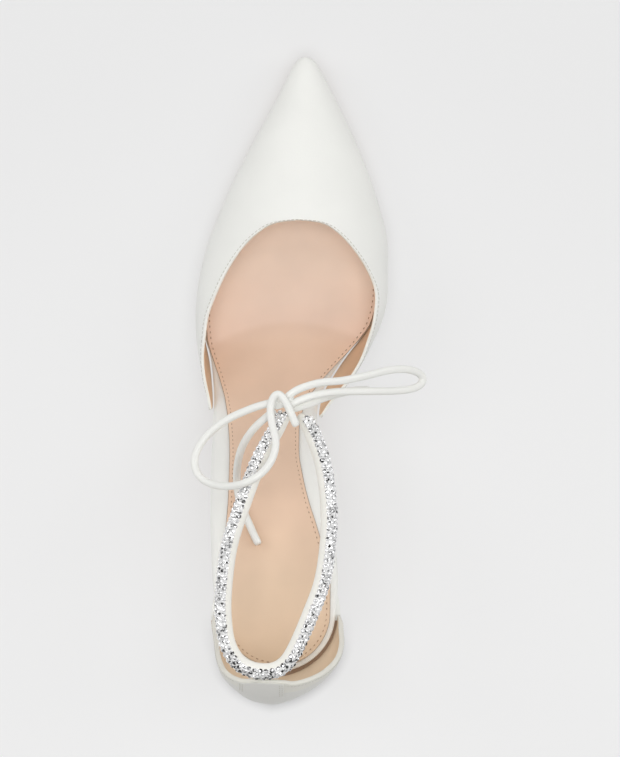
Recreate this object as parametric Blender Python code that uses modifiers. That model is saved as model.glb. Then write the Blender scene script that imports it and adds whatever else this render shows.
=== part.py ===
"""Ankle strap pump, left shoe: a pointed d'Orsay pump with a rolled, stone-paved ankle strap.

Frame: +Y to the toe, +X to the medial side, +Z up, origin on the floor under the ball tread.
The tables are a sample pattern in millimetres, graded to the driving dimensions below.
"""

import math

import bmesh
import bpy
import numpy as np
from mathutils import Vector

# Driving dimensions, in metres
SHOE_LENGTH = 0.2447
BALL_WIDTH = 0.0732
HEEL_HEIGHT = 0.0700
THROAT_HEIGHT = 0.0350

# The sample pattern's own driving dimensions, in the millimetres of the tables
PATTERN_LENGTH = 244.7
PATTERN_WIDTH = 73.2
PATTERN_HEEL = 70.0
PATTERN_THROAT = 35.0

MM = 0.001
GRADE = (
    BALL_WIDTH / (PATTERN_WIDTH * MM),
    SHOE_LENGTH / (PATTERN_LENGTH * MM),
    HEEL_HEIGHT / (PATTERN_HEEL * MM),
)
THROAT_GRADE = THROAT_HEIGHT / HEEL_HEIGHT * PATTERN_HEEL / PATTERN_THROAT

# Thicknesses and clearances of the sample pattern, in millimetres
GAP = 0.3
OUTSOLE_THICK = 2.2
SOCK_THICK = 0.9
UPPER_WALL = 1.2
COUNTER_WALL = 1.8
STRAP_RADIUS = 2.8
STRAP_TIP = 0.62             # share of the radius at each tip
STRAP_TAPER = 3              # points of the route over which a tip tapers
PAVING_THICK = 0.8
PAVING_ARC = (-10, 100)      # degrees from straight out, round over the top
STRAP_STEP = 4.5             # between the points of the strap's tube
LACE_RADIUS = 1.45
LACE_STEP = 4.2              # between the points of a lace's tube
LIFT_THICK = 5.0

# Board edge and height. top is the centre height of the board, thick its thickness,
# drop how far the wrapped edge rolls down, tuck how far the underside lies inside the edge.
BOARD_COLUMNS = ("y", "lateral", "medial", "top", "thick", "drop", "tuck")
BOARD_ROWS = (
    (99.5, 2.8, 7.8, 9.3, 2.0, 0.4, 0.3),
    (94.0, 0.2, 10.9, 8.6, 2.0, 0.4, 0.3),
    (83.8, -5.0, 15.9, 7.5, 2.0, 0.4, 0.3),
    (66.3, -14.6, 23.8, 6.0, 2.0, 0.4, 0.3),
    (48.9, -22.7, 29.6, 5.0, 2.0, 0.4, 0.3),
    (31.5, -28.9, 33.1, 4.55, 2.0, 0.4, 0.3),
    (14.0, -32.1, 32.6, 4.5, 2.0, 0.4, 0.3),
    (3.0, -32.8, 29.9, 4.5, 2.0, 0.4, 0.3),
    (-3.0, -32.2, 26.0, 4.5, 2.0, 0.5, 0.4),
    (-7.0, -31.4, 22.6, 5.4, 2.2, 0.7, 0.5),
    (-11.5, -30.4, 19.1, 7.5, 2.7, 1.0, 0.7),
    (-19.0, -29.6, 14.2, 12.7, 3.4, 1.7, 1.2),
    (-26.5, -29.2, 10.2, 19.9, 4.2, 2.5, 1.8),
    (-35.0, -29.7, 9.5, 29.1, 5.0, 3.2, 2.4),
    (-46.0, -30.1, 10.4, 40.1, 5.6, 3.6, 2.8),
    (-58.0, -30.4, 12.3, 50.3, 5.6, 3.6, 2.8),
    (-70.0, -30.5, 14.6, 57.5, 5.2, 3.2, 2.6),
    (-82.0, -30.2, 16.6, 62.4, 4.6, 2.2, 1.8),
    (-95.0, -29.6, 17.6, 65.4, 4.0, 1.2, 1.2),
    (-106.5, -27.9, 16.7, 67.8, 3.6, 0.5, 0.6),
)

# Stations across the sole, shared by the plates so that they nest
STATIONS = tuple(range(97, -104, -5))

# The seat end of the board is a half circle, and the counter's stations lie round it.
SEAT_CENTRE = (-5.6, -106.5)
SEAT_RADIUS = 22.2
SEAT_BACK_TOP = 72.4
SEAT_BACK_THICK = 3.2

# Sock edge, inside the board's edge
SOCK_COLUMNS = ("y", "lateral", "medial")
SOCK_ROWS = (
    (97.0, 2.6, 8.3),
    (83.8, -4.0, 14.9),
    (66.3, -13.4, 22.6),
    (48.9, -21.7, 28.6),
    (31.5, -27.9, 32.1),
    (14.0, -31.8, 32.3),
    (3.8, -32.4, 30.4),
    (-4.0, -31.8, 25.3),
    (-11.5, -29.6, 18.4),
    (-19.3, -27.0, 11.3),
    (-26.5, -25.1, 6.1),
    (-36.0, -23.9, 3.0),
    (-46.0, -23.4, 2.9),
    (-55.0, -23.6, 4.3),
    (-64.0, -23.9, 6.4),
    (-73.0, -24.6, 9.3),
    (-84.0, -25.6, 12.4),
    (-96.0, -26.3, 14.7),
    (-106.5, -25.8, 14.6),
)
SOCK_SEAT_RADIUS = 20.2

# Outsole: its ends, and how far its edge stands out from the board's edge by y
OUTSOLE_TOE = 101.8
OUTSOLE_BREAST = -86.9
OUTSOLE_OUTSET = ((-90.0, -40.0, -18.0, 6.0, 90.0, 101.8), (-2.4, -3.2, -1.2, 1.1, 1.2, 0.6))

# Ahead of TOE_FOOT_FROM the vamp's foot lies a share of the half width inside its widest.
TOE_FOOT_FROM = 97.0
TOE_FOOT_TUCK = 0.10

# Outer edge of the upper at its widest, how high above its foot that lies, and the
# ridge of the last, which carries on over the foot behind the throat
LAST_COLUMNS = ("y", "lateral", "medial", "ridge_x", "ridge_z", "widest")
LAST_ROWS = (
    (103.5, 5.25, 5.35, 5.3, 11.4, 1.4),
    (103.0, 3.3, 7.3, 5.3, 12.6, 1.8),
    (101.6, 1.6, 8.9, 5.3, 14.2, 2.2),
    (98.5, -0.3, 10.9, 5.3, 16.2, 2.7),
    (91.0, -3.9, 14.9, 5.1, 19.2, 3.2),
    (83.8, -7.7, 18.5, 4.9, 21.4, 3.4),
    (66.3, -17.3, 26.6, 4.0, 26.0, 4.2),
    (48.9, -25.6, 32.8, 3.1, 32.0, 5.6),
    (31.5, -32.2, 36.6, 2.0, 38.0, 8.0),
    (14.0, -35.8, 36.6, 1.0, 42.0, 10.5),
    (4.0, -36.4, 34.7, 0.4, 44.5, 12.0),
    (-4.0, -36.0, 31.2, -0.5, 47.0, 13.0),
    (-12.0, -34.8, 27.3, -2.0, 52.0, 13.0),
    (-18.0, -33.7, 23.4, -4.0, 56.0, 11.5),
    (-26.0, -31.9, 16.6, -7.0, 62.0, 6.5),
    (-30.5, -31.1, 12.9, -8.0, 66.0, 2.8),
    (-34.0, -31.1, 11.2, -9.0, 70.0, 1.6),
)

# Topline of the vamp from the throat to each wing tip. turn is 1 on the ridge,
# 0 at the upper's widest and FOOT_TURN at its foot.
FOOT_TURN = -0.2
TOPLINE_COLUMNS = ("along", "y_lateral", "turn_lateral", "y_medial", "turn_medial")
TOPLINE_ROWS = (
    (0.00, 41.6, 1.00, 41.6, 1.00),
    (0.07, 41.3, 0.90, 41.3, 0.90),
    (0.14, 40.3, 0.80, 40.2, 0.80),
    (0.24, 36.8, 0.69, 36.6, 0.69),
    (0.34, 31.5, 0.59, 31.3, 0.58),
    (0.45, 24.3, 0.50, 24.0, 0.445),
    (0.56, 14.0, 0.40, 15.0, 0.32),
    (0.66, 5.5, 0.31, 7.0, 0.285),
    (0.75, -3.0, 0.25, -1.0, 0.228),
    (0.84, -11.7, 0.135, -10.0, 0.15),
    (0.92, -20.5, 0.04, -20.0, 0.06),
    (0.96, -25.5, 0.00, -26.7, 0.01),
    (1.00, -30.5, -0.10, -33.4, -0.10),
)

# Counter: outer radius about the seat centre at the bottom, bulge and topline, by angle
# from the medial side (0) round the back (90) to the lateral side (180) in degrees.
COUNTER_COLUMNS = ("angle", "foot", "bulge", "rim", "rim_z", "bulge_at")
COUNTER_ROWS = (
    (2.0, 24.8, 24.8, 24.8, 70.5, 0.55),
    (14.0, 24.8, 25.6, 25.9, 78.2, 0.55),
    (26.0, 24.8, 27.6, 28.1, 88.7, 0.55),
    (38.0, 24.8, 29.5, 29.3, 98.2, 0.52),
    (50.0, 24.8, 30.5, 29.0, 106.7, 0.5),
    (63.0, 24.9, 31.3, 28.2, 113.8, 0.48),
    (76.0, 25.1, 32.5, 27.4, 118.2, 0.46),
    (84.0, 25.3, 33.6, 26.2, 120.8, 0.46),
    (93.0, 25.4, 34.5, 25.7, 121.3, 0.46),
    (106.0, 25.3, 34.2, 26.3, 120.8, 0.46),
    (118.0, 25.1, 32.6, 28.9, 116.6, 0.46),
    (130.0, 24.9, 31.0, 29.8, 108.8, 0.48),
    (142.0, 24.8, 28.5, 28.3, 97.7, 0.52),
    (154.0, 24.8, 25.9, 26.0, 86.5, 0.55),
    (166.0, 24.8, 24.9, 24.9, 76.6, 0.55),
    (178.0, 24.8, 24.8, 24.8, 70.5, 0.55),
)

# Heel sections from the seat down, with the front, back and half width of each. square
# is under 1 where the front is flatter than a half ellipse.
HEEL_COLUMNS = ("down", "front", "back", "half", "square")
HEEL_ROWS = (
    (0.00, -87.3, -131.8, 24.4, 0.50),
    (0.05, -89.5, -132.0, 22.6, 0.60),
    (0.14, -96.5, -132.0, 17.4, 0.72),
    (0.27, -106.0, -131.0, 11.6, 0.85),
    (0.45, -113.0, -129.0, 7.4, 0.95),
    (0.68, -116.4, -127.0, 5.2, 1.00),
    (0.88, -117.6, -126.4, 4.4, 1.00),
    (1.00, -117.8, -126.6, 4.5, 1.00),
)
HEEL_X = -5.8

# Centre line of the ankle strap from its lateral tip round the back to its medial tip
STRAP_ROUTE = (
    (-1.4, -31.4, 89.0),
    (-4.4, -36.2, 91.7),
    (-8.3, -42.6, 94.0),
    (-12.8, -51.6, 96.2),
    (-18.7, -67.7, 101.2),
    (-22.9, -81.3, 106.2),
    (-24.9, -96.6, 111.8),
    (-25.1, -108.0, 115.8),
    (-23.3, -118.6, 119.2),
    (-18.2, -125.6, 121.2),
    (-9.8, -127.9, 121.9),
    (-3.2, -125.8, 121.5),
    (1.2, -119.6, 120.2),
    (6.6, -107.2, 116.2),
    (11.4, -93.8, 111.0),
    (13.7, -77.0, 104.7),
    (13.6, -63.8, 100.0),
    (11.4, -49.6, 95.7),
    (7.8, -39.4, 92.6),
    (5.4, -35.4, 90.8),
    (3.4, -32.2, 89.0),
)

# Lace routes, tube centre lines from the knot
LOOP_LEFT_ROUTE = (
    (-4.9, -27.0, 93.0),
    (-8.4, -27.7, 92.8),
    (-14.8, -29.6, 92.4),
    (-24.6, -34.1, 90.2),
    (-32.4, -40.6, 88.2),
    (-36.3, -48.0, 88.0),
    (-35.2, -54.4, 90.2),
    (-30.6, -57.8, 93.6),
    (-24.2, -58.9, 99.0),
    (-17.4, -57.6, 104.2),
    (-11.2, -54.0, 104.0),
    (-7.2, -48.6, 102.4),
    (-5.8, -42.2, 100.6),
    (-7.2, -35.6, 98.4),
    (-7.9, -29.6, 96.9),
    (-6.7, -25.2, 96.6),
    (-4.7, -23.9, 96.7),
    (-2.8, -26.2, 97.3),
    (-0.9, -29.6, 97.3),
    (0.6, -33.2, 97.0),
    (1.9, -36.2, 96.4),
)
LOOP_RIGHT_ROUTE = (
    (-1.8, -25.6, 93.4),
    (1.0, -23.3, 93.8),
    (4.8, -21.6, 93.8),
    (11.0, -19.9, 93.4),
    (19.0, -19.2, 91.8),
    (28.4, -17.3, 88.2),
    (36.0, -15.4, 83.8),
    (43.0, -14.9, 78.6),
    (48.4, -16.6, 74.2),
    (49.6, -19.6, 72.8),
    (46.4, -22.0, 75.2),
    (39.8, -23.0, 80.4),
    (29.2, -23.2, 86.8),
    (17.1, -23.4, 91.0),
    (9.0, -24.6, 93.0),
    (3.0, -26.6, 93.6),
    (-0.9, -28.6, 93.5),
)
END_LEFT_ROUTE = (
    (-6.2, -30.4, 90.6),
    (-9.9, -33.3, 89.6),
    (-13.8, -36.9, 87.0),
    (-17.0, -41.2, 82.0),
    (-19.2, -46.0, 75.0),
    (-20.3, -51.2, 66.8),
    (-20.6, -56.2, 60.5),
    (-20.2, -61.0, 57.6),
    (-19.0, -66.0, 58.7),
    (-16.8, -71.2, 61.5),
    (-14.6, -76.2, 63.9),
    (-12.4, -80.8, 65.6),
)
END_RIGHT_ROUTE = (
    (0.4, -29.9, 90.8),
    (6.0, -28.2, 89.2),
    (12.0, -25.8, 85.9),
    (18.5, -23.9, 80.1),
    (24.5, -22.8, 72.8),
    (29.0, -22.6, 64.0),
)
KNOT_CENTRE = (-3.1, -27.0, 90.4)
KNOT_HALF = (2.9, 2.6, 1.2)


def column(rows, names, name):
    """One named column of a table."""
    place = names.index(name)
    return np.array([row[place] for row in rows])


def smooth(xs, ys, at):
    """Monotone cubic through the points (xs, ys), read at one place."""
    order = np.argsort(xs)
    xs, ys = np.asarray(xs)[order], np.asarray(ys)[order]
    step = np.diff(xs)
    slope = np.diff(ys) / step
    tangent = np.concatenate(([slope[0]], np.zeros(len(xs) - 2), [slope[-1]]))
    for i in range(1, len(xs) - 1):
        before, after = slope[i - 1], slope[i]
        if before * after > 0:
            wide, near = 2 * step[i] + step[i - 1], step[i] + 2 * step[i - 1]
            tangent[i] = (wide + near) / (wide / before + near / after)
    at = min(max(at, xs[0]), xs[-1])
    i = min(max(int(np.searchsorted(xs, at)) - 1, 0), len(xs) - 2)
    t = (at - xs[i]) / step[i]
    return float(
        (2 * t**3 - 3 * t**2 + 1) * ys[i]
        + (t**3 - 2 * t**2 + t) * step[i] * tangent[i]
        + (3 * t**2 - 2 * t**3) * ys[i + 1]
        + (t**3 - t**2) * step[i] * tangent[i + 1]
    )


def read(rows, names, name, at):
    """A column of a table, read smoothly at a place along its first column."""
    return smooth(column(rows, names, names[0]), column(rows, names, name), at)


def with_seat(name, back, y):
    """A column of the board's table, carried on over the seat to its value at the back."""
    ys = np.append(column(BOARD_ROWS, BOARD_COLUMNS, "y"), SEAT_CENTRE[1] - SEAT_RADIUS)
    return smooth(ys, np.append(column(BOARD_ROWS, BOARD_COLUMNS, name), back), y)


def board_top(y):
    return with_seat("top", SEAT_BACK_TOP, y)


def board_bottom(y):
    return board_top(y) - with_seat("thick", SEAT_BACK_THICK, y)


def edges(rows, names, radius, y):
    """Lateral and medial edge of an outline that ends in the seat's half circle."""
    if y < SEAT_CENTRE[1]:
        half = math.sqrt(max(radius**2 - (y - SEAT_CENTRE[1]) ** 2, 0.0))
        return SEAT_CENTRE[0] - half, SEAT_CENTRE[0] + half
    return read(rows, names, "lateral", y), read(rows, names, "medial", y)


def seat_stations(radius, count):
    """Stations round the seat's half circle, closer together towards the back."""
    turns = [step / count * math.radians(84) for step in range(1, count + 1)]
    return [SEAT_CENTRE[1] - radius * math.sin(turn) for turn in turns]


def graded(point):
    """A pattern point in millimetres, graded to the driving dimensions, in metres."""
    return Vector([size * grade * MM for size, grade in zip(point, GRADE)])


def material(name, colour, roughness):
    made = bpy.data.materials.new(name)
    made.use_nodes = True
    shader = made.node_tree.nodes["Principled BSDF"]
    shader.inputs["Base Color"].default_value = (*colour, 1.0)
    shader.inputs["Roughness"].default_value = roughness
    made.diffuse_color = (*colour, 1.0)
    return made


def add_mesh(name, work, shade):
    """The bmesh as a smooth shaded object with its edges kept."""
    mesh = bpy.data.meshes.new(name)
    work.to_mesh(mesh)
    work.free()
    mesh.materials.append(shade)
    mesh.shade_smooth()
    mesh.set_sharp_from_angle(angle=math.radians(35))
    made = bpy.data.objects.new(name, mesh)
    parts.objects.link(made)
    return made


def add_loft(name, rings, shade, ladder=False):
    """A closed skin over rings of points. A ladder cap joins the two sides of a first ring
    that isn't flat, whose points come in pairs at the same y."""
    work = bmesh.new()
    verts = [[work.verts.new(graded(point)) for point in ring] for ring in rings]
    count = len(verts[0])
    for near, far in zip(verts, verts[1:]):
        for i in range(count):
            j = (i + 1) % count
            work.faces.new((near[i], near[j], far[j], far[i]))
    if ladder:
        for i in range(count // 2):
            corners = [verts[0][k % count] for k in (i, i + 1, -i - 1, -i)]
            work.faces.new(list(dict.fromkeys(corners)))
    else:
        work.faces.new(verts[0])
    work.faces.new(verts[-1])
    bmesh.ops.recalc_face_normals(work, faces=work.faces)
    return add_mesh(name, work, shade)


def add_wall(name, grids, shade, thickness):
    """Open grids of points, welded where they meet, with a wall laid on their inner side."""
    work = bmesh.new()
    for grid in grids:
        verts = [[work.verts.new(graded(point)) for point in row] for row in grid]
        for near, far in zip(verts, verts[1:]):
            for i in range(len(near) - 1):
                work.faces.new((near[i], near[i + 1], far[i + 1], far[i]))
    bmesh.ops.remove_doubles(work, verts=work.verts, dist=0.00002)
    made = add_mesh(name, work, shade)
    wall = made.modifiers.new("wall", "SOLIDIFY")
    wall.thickness = thickness * MM
    wall.offset = -1.0
    wall.use_quality_normals = True
    return made


def route(stops, spacing):
    """Points about spacing apart on a Catmull-Rom curve through a short route."""
    stops = [np.array(stop, float) for stop in stops]
    ends = [2 * stops[0] - stops[1], *stops, 2 * stops[-1] - stops[-2]]
    fine = []
    for a, b, c, d in zip(ends, ends[1:], ends[2:], ends[3:]):
        for t in np.linspace(0.0, 1.0, 24, endpoint=False):
            bend = (2 * a - 5 * b + 4 * c - d) * t**2 + (3 * b - a - 3 * c + d) * t**3
            fine.append(b + 0.5 * ((c - a) * t + bend))
    fine = np.array([*fine, stops[-1]])
    run = np.concatenate(([0.0], np.cumsum(np.linalg.norm(np.diff(fine, axis=0), axis=1))))
    at = np.linspace(0.0, run[-1], round(run[-1] / spacing) + 1)
    return np.column_stack([np.interp(at, run, fine[:, k]) for k in range(3)])


def tip_share(point, last):
    """Share of the strap's radius at a point of its route, which tapers to both tips."""
    near = min(point, last - point, STRAP_TAPER) / STRAP_TAPER
    return STRAP_TIP + (1 - STRAP_TIP) * math.sin(near * math.pi / 2)


def add_tube(name, stops, spacing, radius, shade, resolution=2, share=None):
    """A tube along a route, as a curve with filled caps. share gives the part of its radius
    at a place along it."""
    curve = bpy.data.curves.new(name, "CURVE")
    curve.dimensions = "3D"
    curve.bevel_depth = radius * MM
    curve.bevel_resolution = resolution
    curve.use_fill_caps = True
    curve.materials.append(shade)
    line = route(stops, spacing)
    spline = curve.splines.new("POLY")
    spline.points.add(len(line) - 1)
    for i, (point, place) in enumerate(zip(spline.points, line)):
        point.co = (*graded(place), 1.0)
        point.radius = share(i, len(line) - 1) if share else 1.0
    made = bpy.data.objects.new(name, curve)
    parts.objects.link(made)
    return made


def plate_ring(y, lateral, medial, top, bottom, drop, tuck, roll):
    """Ring across a plate: a flat top, edges rolled down by drop, and a narrower underside."""
    halves = []
    for side, edge in ((1, medial), (-1, lateral)):
        half = []
        for turn in (0, 30, 60, 90):
            turn = math.radians(turn)
            inward = roll * (1 - math.sin(turn))
            half.append((edge - side * inward, y, top - drop * (1 - math.cos(turn))))
        half.append((edge - side * tuck * 0.3, y, (top - drop + bottom) / 2))
        half.append((edge - side * tuck, y, bottom))
        halves.append(half)
    return halves[0] + halves[1][::-1]


def make_insole_board(shade):
    rings = []
    for y in (BOARD_ROWS[0][0], *STATIONS, *seat_stations(SEAT_RADIUS, 8)):
        lateral, medial = edges(BOARD_ROWS, BOARD_COLUMNS, SEAT_RADIUS, y)
        drop, tuck = (read(BOARD_ROWS, BOARD_COLUMNS, name, y) for name in ("drop", "tuck"))
        roll = min(0.6 + 1.7 * drop, 0.4 * (medial - lateral))
        rings.append(
            plate_ring(y, lateral, medial, board_top(y), board_bottom(y), drop, tuck, roll)
        )
    add_loft("insole_board", rings, shade)


def make_sock(shade):
    rings = []
    for y in (*STATIONS, *seat_stations(SOCK_SEAT_RADIUS, 7)):
        lateral, medial = edges(SOCK_ROWS, SOCK_COLUMNS, SOCK_SEAT_RADIUS, y)
        low = board_top(y) + GAP
        high = low + SOCK_THICK
        rings.append(
            ((medial, y, low), (medial, y, high), (lateral, y, high), (lateral, y, low))
        )
    add_loft("sock", rings, shade)


def make_outsole(shade):
    rings = []
    middle = [y for y in STATIONS if y > OUTSOLE_BREAST]
    for y in (OUTSOLE_TOE, BOARD_ROWS[0][0], *middle, OUTSOLE_BREAST):
        lateral, medial = edges(BOARD_ROWS, BOARD_COLUMNS, SEAT_RADIUS, y)
        under = smooth(*OUTSOLE_OUTSET, y)
        top = board_bottom(y) - GAP
        low = top - OUTSOLE_THICK
        ring = []
        for side, edge in ((1, medial + under), (-1, lateral - under)):
            half = [(edge, y, top), (edge, y, low + 0.6), (edge - side * 0.6, y, low)]
            ring += half if side > 0 else half[::-1]
        rings.append(ring)
    add_loft("outsole", rings, shade)


def last_point(side, y, turn):
    """A point of the last's surface, on the lateral or medial side."""
    edge = read(LAST_ROWS, LAST_COLUMNS, side, y)
    ridge_x, ridge_z, widest = (
        read(LAST_ROWS, LAST_COLUMNS, name, y) for name in ("ridge_x", "ridge_z", "widest")
    )
    foot_z = board_bottom(y)
    if turn >= 0:
        angle = turn * math.pi / 2
        x = ridge_x + (edge - ridge_x) * math.cos(angle)
        return x, y, foot_z + widest + (ridge_z * THROAT_GRADE - foot_z - widest) * math.sin(angle)
    outward = 1 if side == "medial" else -1
    foot = read(BOARD_ROWS, BOARD_COLUMNS, side, y) + outward * (1.5 * GAP + UPPER_WALL)
    if y > TOE_FOOT_FROM:
        foot = edge + (ridge_x - edge) * TOE_FOOT_TUCK
    share = turn / FOOT_TURN
    return edge + (foot - edge) * share**1.4, y, foot_z + widest * (1 - share)


def vamp_turns(top):
    """Places up a vamp section: from its foot to its widest, then on to its top."""
    widest = min(top, 0.0)
    return [*np.linspace(FOOT_TURN, widest, 3), *np.linspace(widest, top, 9)[1:]]


def make_vamp(shade):
    """Each side is a grid from foot to ridge ahead of the throat, and to the topline behind."""
    toe = [103.5, 103.3, 102.9, 102.2, 101.2, 99.8, *np.linspace(97.5, 45.5, 15)]
    along = np.linspace(0.0, 1.0, 26)
    grids = []
    for side in ("lateral", "medial"):
        tops = [(y, 1.0) for y in toe]
        for share in along:
            y, turn = (
                read(TOPLINE_ROWS, TOPLINE_COLUMNS, f"{name}_{side}", share)
                for name in ("y", "turn")
            )
            tops.append((y, turn))
        grid = [[last_point(side, y, turn) for turn in vamp_turns(top)] for y, top in tops]
        grids.append(grid if side == "medial" else [row[::-1] for row in grid])
    add_wall("vamp", grids, shade, UPPER_WALL)


def counter_point(angle, share, inset):
    """A point of the counter at an angle round the seat, a share of the way up its wall."""
    foot, bulge, rim, rim_z, at = (
        read(COUNTER_ROWS, COUNTER_COLUMNS, name, angle) for name in COUNTER_COLUMNS[1:]
    )
    radius = (
        foot * (share - at) * (share - 1) / at
        + bulge * share * (share - 1) / (at * (at - 1))
        + rim * share * (share - at) / (1 - at)
    ) - inset
    turn = math.radians(angle)
    x = SEAT_CENTRE[0] + radius * math.cos(turn)
    y = SEAT_CENTRE[1] - radius * math.sin(turn)
    low = board_bottom(SEAT_CENTRE[1] - SEAT_RADIUS * math.sin(turn)) + GAP
    return x, y, low + (rim_z - low) * share


def make_counter(shade):
    grid = [
        [counter_point(angle, share, 0.0) for share in np.linspace(0.0, 1.0, 9)]
        for angle in np.linspace(2.0, 178.0, 33)
    ]
    add_wall("heel_counter", [grid], shade, COUNTER_WALL)


def heel_ring(down, count=24):
    """Ring round the heel, its points in pairs at the same y from the back to the front."""
    front, back, half, square = (
        read(HEEL_ROWS, HEEL_COLUMNS, name, down) for name in HEEL_COLUMNS[1:]
    )
    top_front, top_back = (
        read(HEEL_ROWS, HEEL_COLUMNS, name, 0.0) for name in ("front", "back")
    )
    ring = []
    for i in range(count):
        turn = 2 * math.pi * i / count
        run = math.cos(turn)
        wide = math.copysign(abs(math.sin(turn)) ** (square if run < 0 else 1.0), math.sin(turn))
        y = (front + back) / 2 - (front - back) / 2 * run
        seat_y = (top_front + top_back) / 2 - (top_front - top_back) / 2 * run
        top = board_bottom(seat_y) - GAP
        ring.append((HEEL_X + half * wide, y, top + (LIFT_THICK + GAP - top) * down))
    return ring


def make_heel(shade):
    downs = [0.0, 0.03, 0.07, 0.12, 0.18, 0.25, 0.33, 0.42, 0.52, 0.64, 0.76, 0.88, 1.0]
    add_loft("heel", [heel_ring(down) for down in downs], shade, ladder=True)


def make_top_lift(shade):
    foot = [(x, y) for x, y, _ in heel_ring(1.0)]
    add_loft("top_lift", [[(x, y, z) for x, y in foot] for z in (0.0, LIFT_THICK)], shade)


def make_paving(shade):
    """The paved skin on the strap's outer side, an arc swept along the strap."""
    line = route(STRAP_ROUTE, STRAP_STEP)
    near, far = STRAP_RADIUS + GAP, STRAP_RADIUS + GAP + PAVING_THICK
    turns = [math.radians(turn) for turn in np.linspace(*PAVING_ARC, 7)]
    rings = []
    for before, place, after in zip(line, line[1:], line[2:]):
        along = Vector(after - before).normalized()
        out = along.cross(Vector((0.0, 0.0, 1.0))).normalized()
        up = out.cross(along)
        arc = [out * math.cos(turn) + up * math.sin(turn) for turn in turns]
        ring = [Vector(place) + near * arm for arm in arc]
        rings.append(ring + [Vector(place) + far * arm for arm in reversed(arc)])
    add_loft("crystal_band", rings, shade)


def make_knot(shade):
    work = bmesh.new()
    bmesh.ops.create_uvsphere(work, u_segments=14, v_segments=8, radius=1.0)
    for vert in work.verts:
        vert.co = graded(
            [middle + size * half for middle, size, half in zip(KNOT_CENTRE, vert.co, KNOT_HALF)]
        )
    add_mesh("lace_knot", work, shade)


def main():
    """Models every piece of the shoe."""
    white = material("white_leather", (0.84, 0.84, 0.81), 0.45)
    nude = material("nude_leather", (0.72, 0.53, 0.41), 0.55)
    tan = material("sole_leather", (0.62, 0.47, 0.34), 0.5)
    lift = material("lift_rubber", (0.55, 0.45, 0.37), 0.6)
    stone = material("clear_stone", (0.9, 0.91, 0.93), 0.08)
    make_outsole(tan)
    make_insole_board(white)
    make_sock(nude)
    make_vamp(white)
    make_counter(white)
    make_heel(white)
    make_top_lift(lift)
    add_tube(
        "ankle_strap", STRAP_ROUTE, STRAP_STEP, STRAP_RADIUS, white, resolution=3, share=tip_share
    )
    make_paving(stone)
    make_knot(white)
    for name, stops in (
        ("lace_loop_left", LOOP_LEFT_ROUTE),
        ("lace_loop_right", LOOP_RIGHT_ROUTE),
        ("lace_end_left", END_LEFT_ROUTE),
        ("lace_end_right", END_RIGHT_ROUTE),
    ):
        add_tube(name, stops, LACE_STEP, LACE_RADIUS, white)


for old in list(bpy.data.objects):
    bpy.data.objects.remove(old, do_unlink=True)
parts = bpy.data.collections.new("ankle_strap_pump")
bpy.context.scene.collection.children.link(parts)
main()
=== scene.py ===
"""Ankle strap pump, left shoe: the finished pieces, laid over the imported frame.

Frame: +Y to the toe, +X to the medial side, +Z up, origin on the floor under the ball tread.
The tables repeat the part's own pattern in millimetres, and every object is made in metres.
"""

import math
import random

import bmesh
import bpy
import numpy as np
from bpy.props import FloatProperty, FloatVectorProperty, IntProperty, PointerProperty
from bpy.types import Operator, Panel, PropertyGroup
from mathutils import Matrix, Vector


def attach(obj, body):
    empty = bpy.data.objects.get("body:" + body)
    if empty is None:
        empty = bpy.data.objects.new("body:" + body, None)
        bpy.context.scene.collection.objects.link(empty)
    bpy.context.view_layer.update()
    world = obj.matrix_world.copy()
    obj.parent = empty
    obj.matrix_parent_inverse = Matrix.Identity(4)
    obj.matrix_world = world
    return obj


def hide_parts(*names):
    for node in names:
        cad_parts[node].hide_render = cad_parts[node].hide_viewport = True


bl_info = {
    "name": "Ankle Strap Pump",
    "version": (1, 0, 0),
    "blender": (4, 5, 0),
    "location": "View3D > Sidebar > Pump",
    "description": "Builds a pointed pump with a stone-paved ankle strap and a lace bow",
    "category": "Add Mesh",
}

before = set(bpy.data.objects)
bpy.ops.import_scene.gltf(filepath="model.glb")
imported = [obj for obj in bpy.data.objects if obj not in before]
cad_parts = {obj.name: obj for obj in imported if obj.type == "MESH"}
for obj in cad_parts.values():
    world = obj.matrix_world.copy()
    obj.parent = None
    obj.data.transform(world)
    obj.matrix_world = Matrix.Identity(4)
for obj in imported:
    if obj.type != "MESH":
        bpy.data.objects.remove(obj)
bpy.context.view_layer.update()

MM = 0.001
BODY = "root"

# Clearances and thicknesses of the pattern, in millimetres
GAP = 0.3
SOCK_THICK = 0.9
OUTSOLE_THICK = 2.2
LIFT_THICK = 5.0

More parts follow.
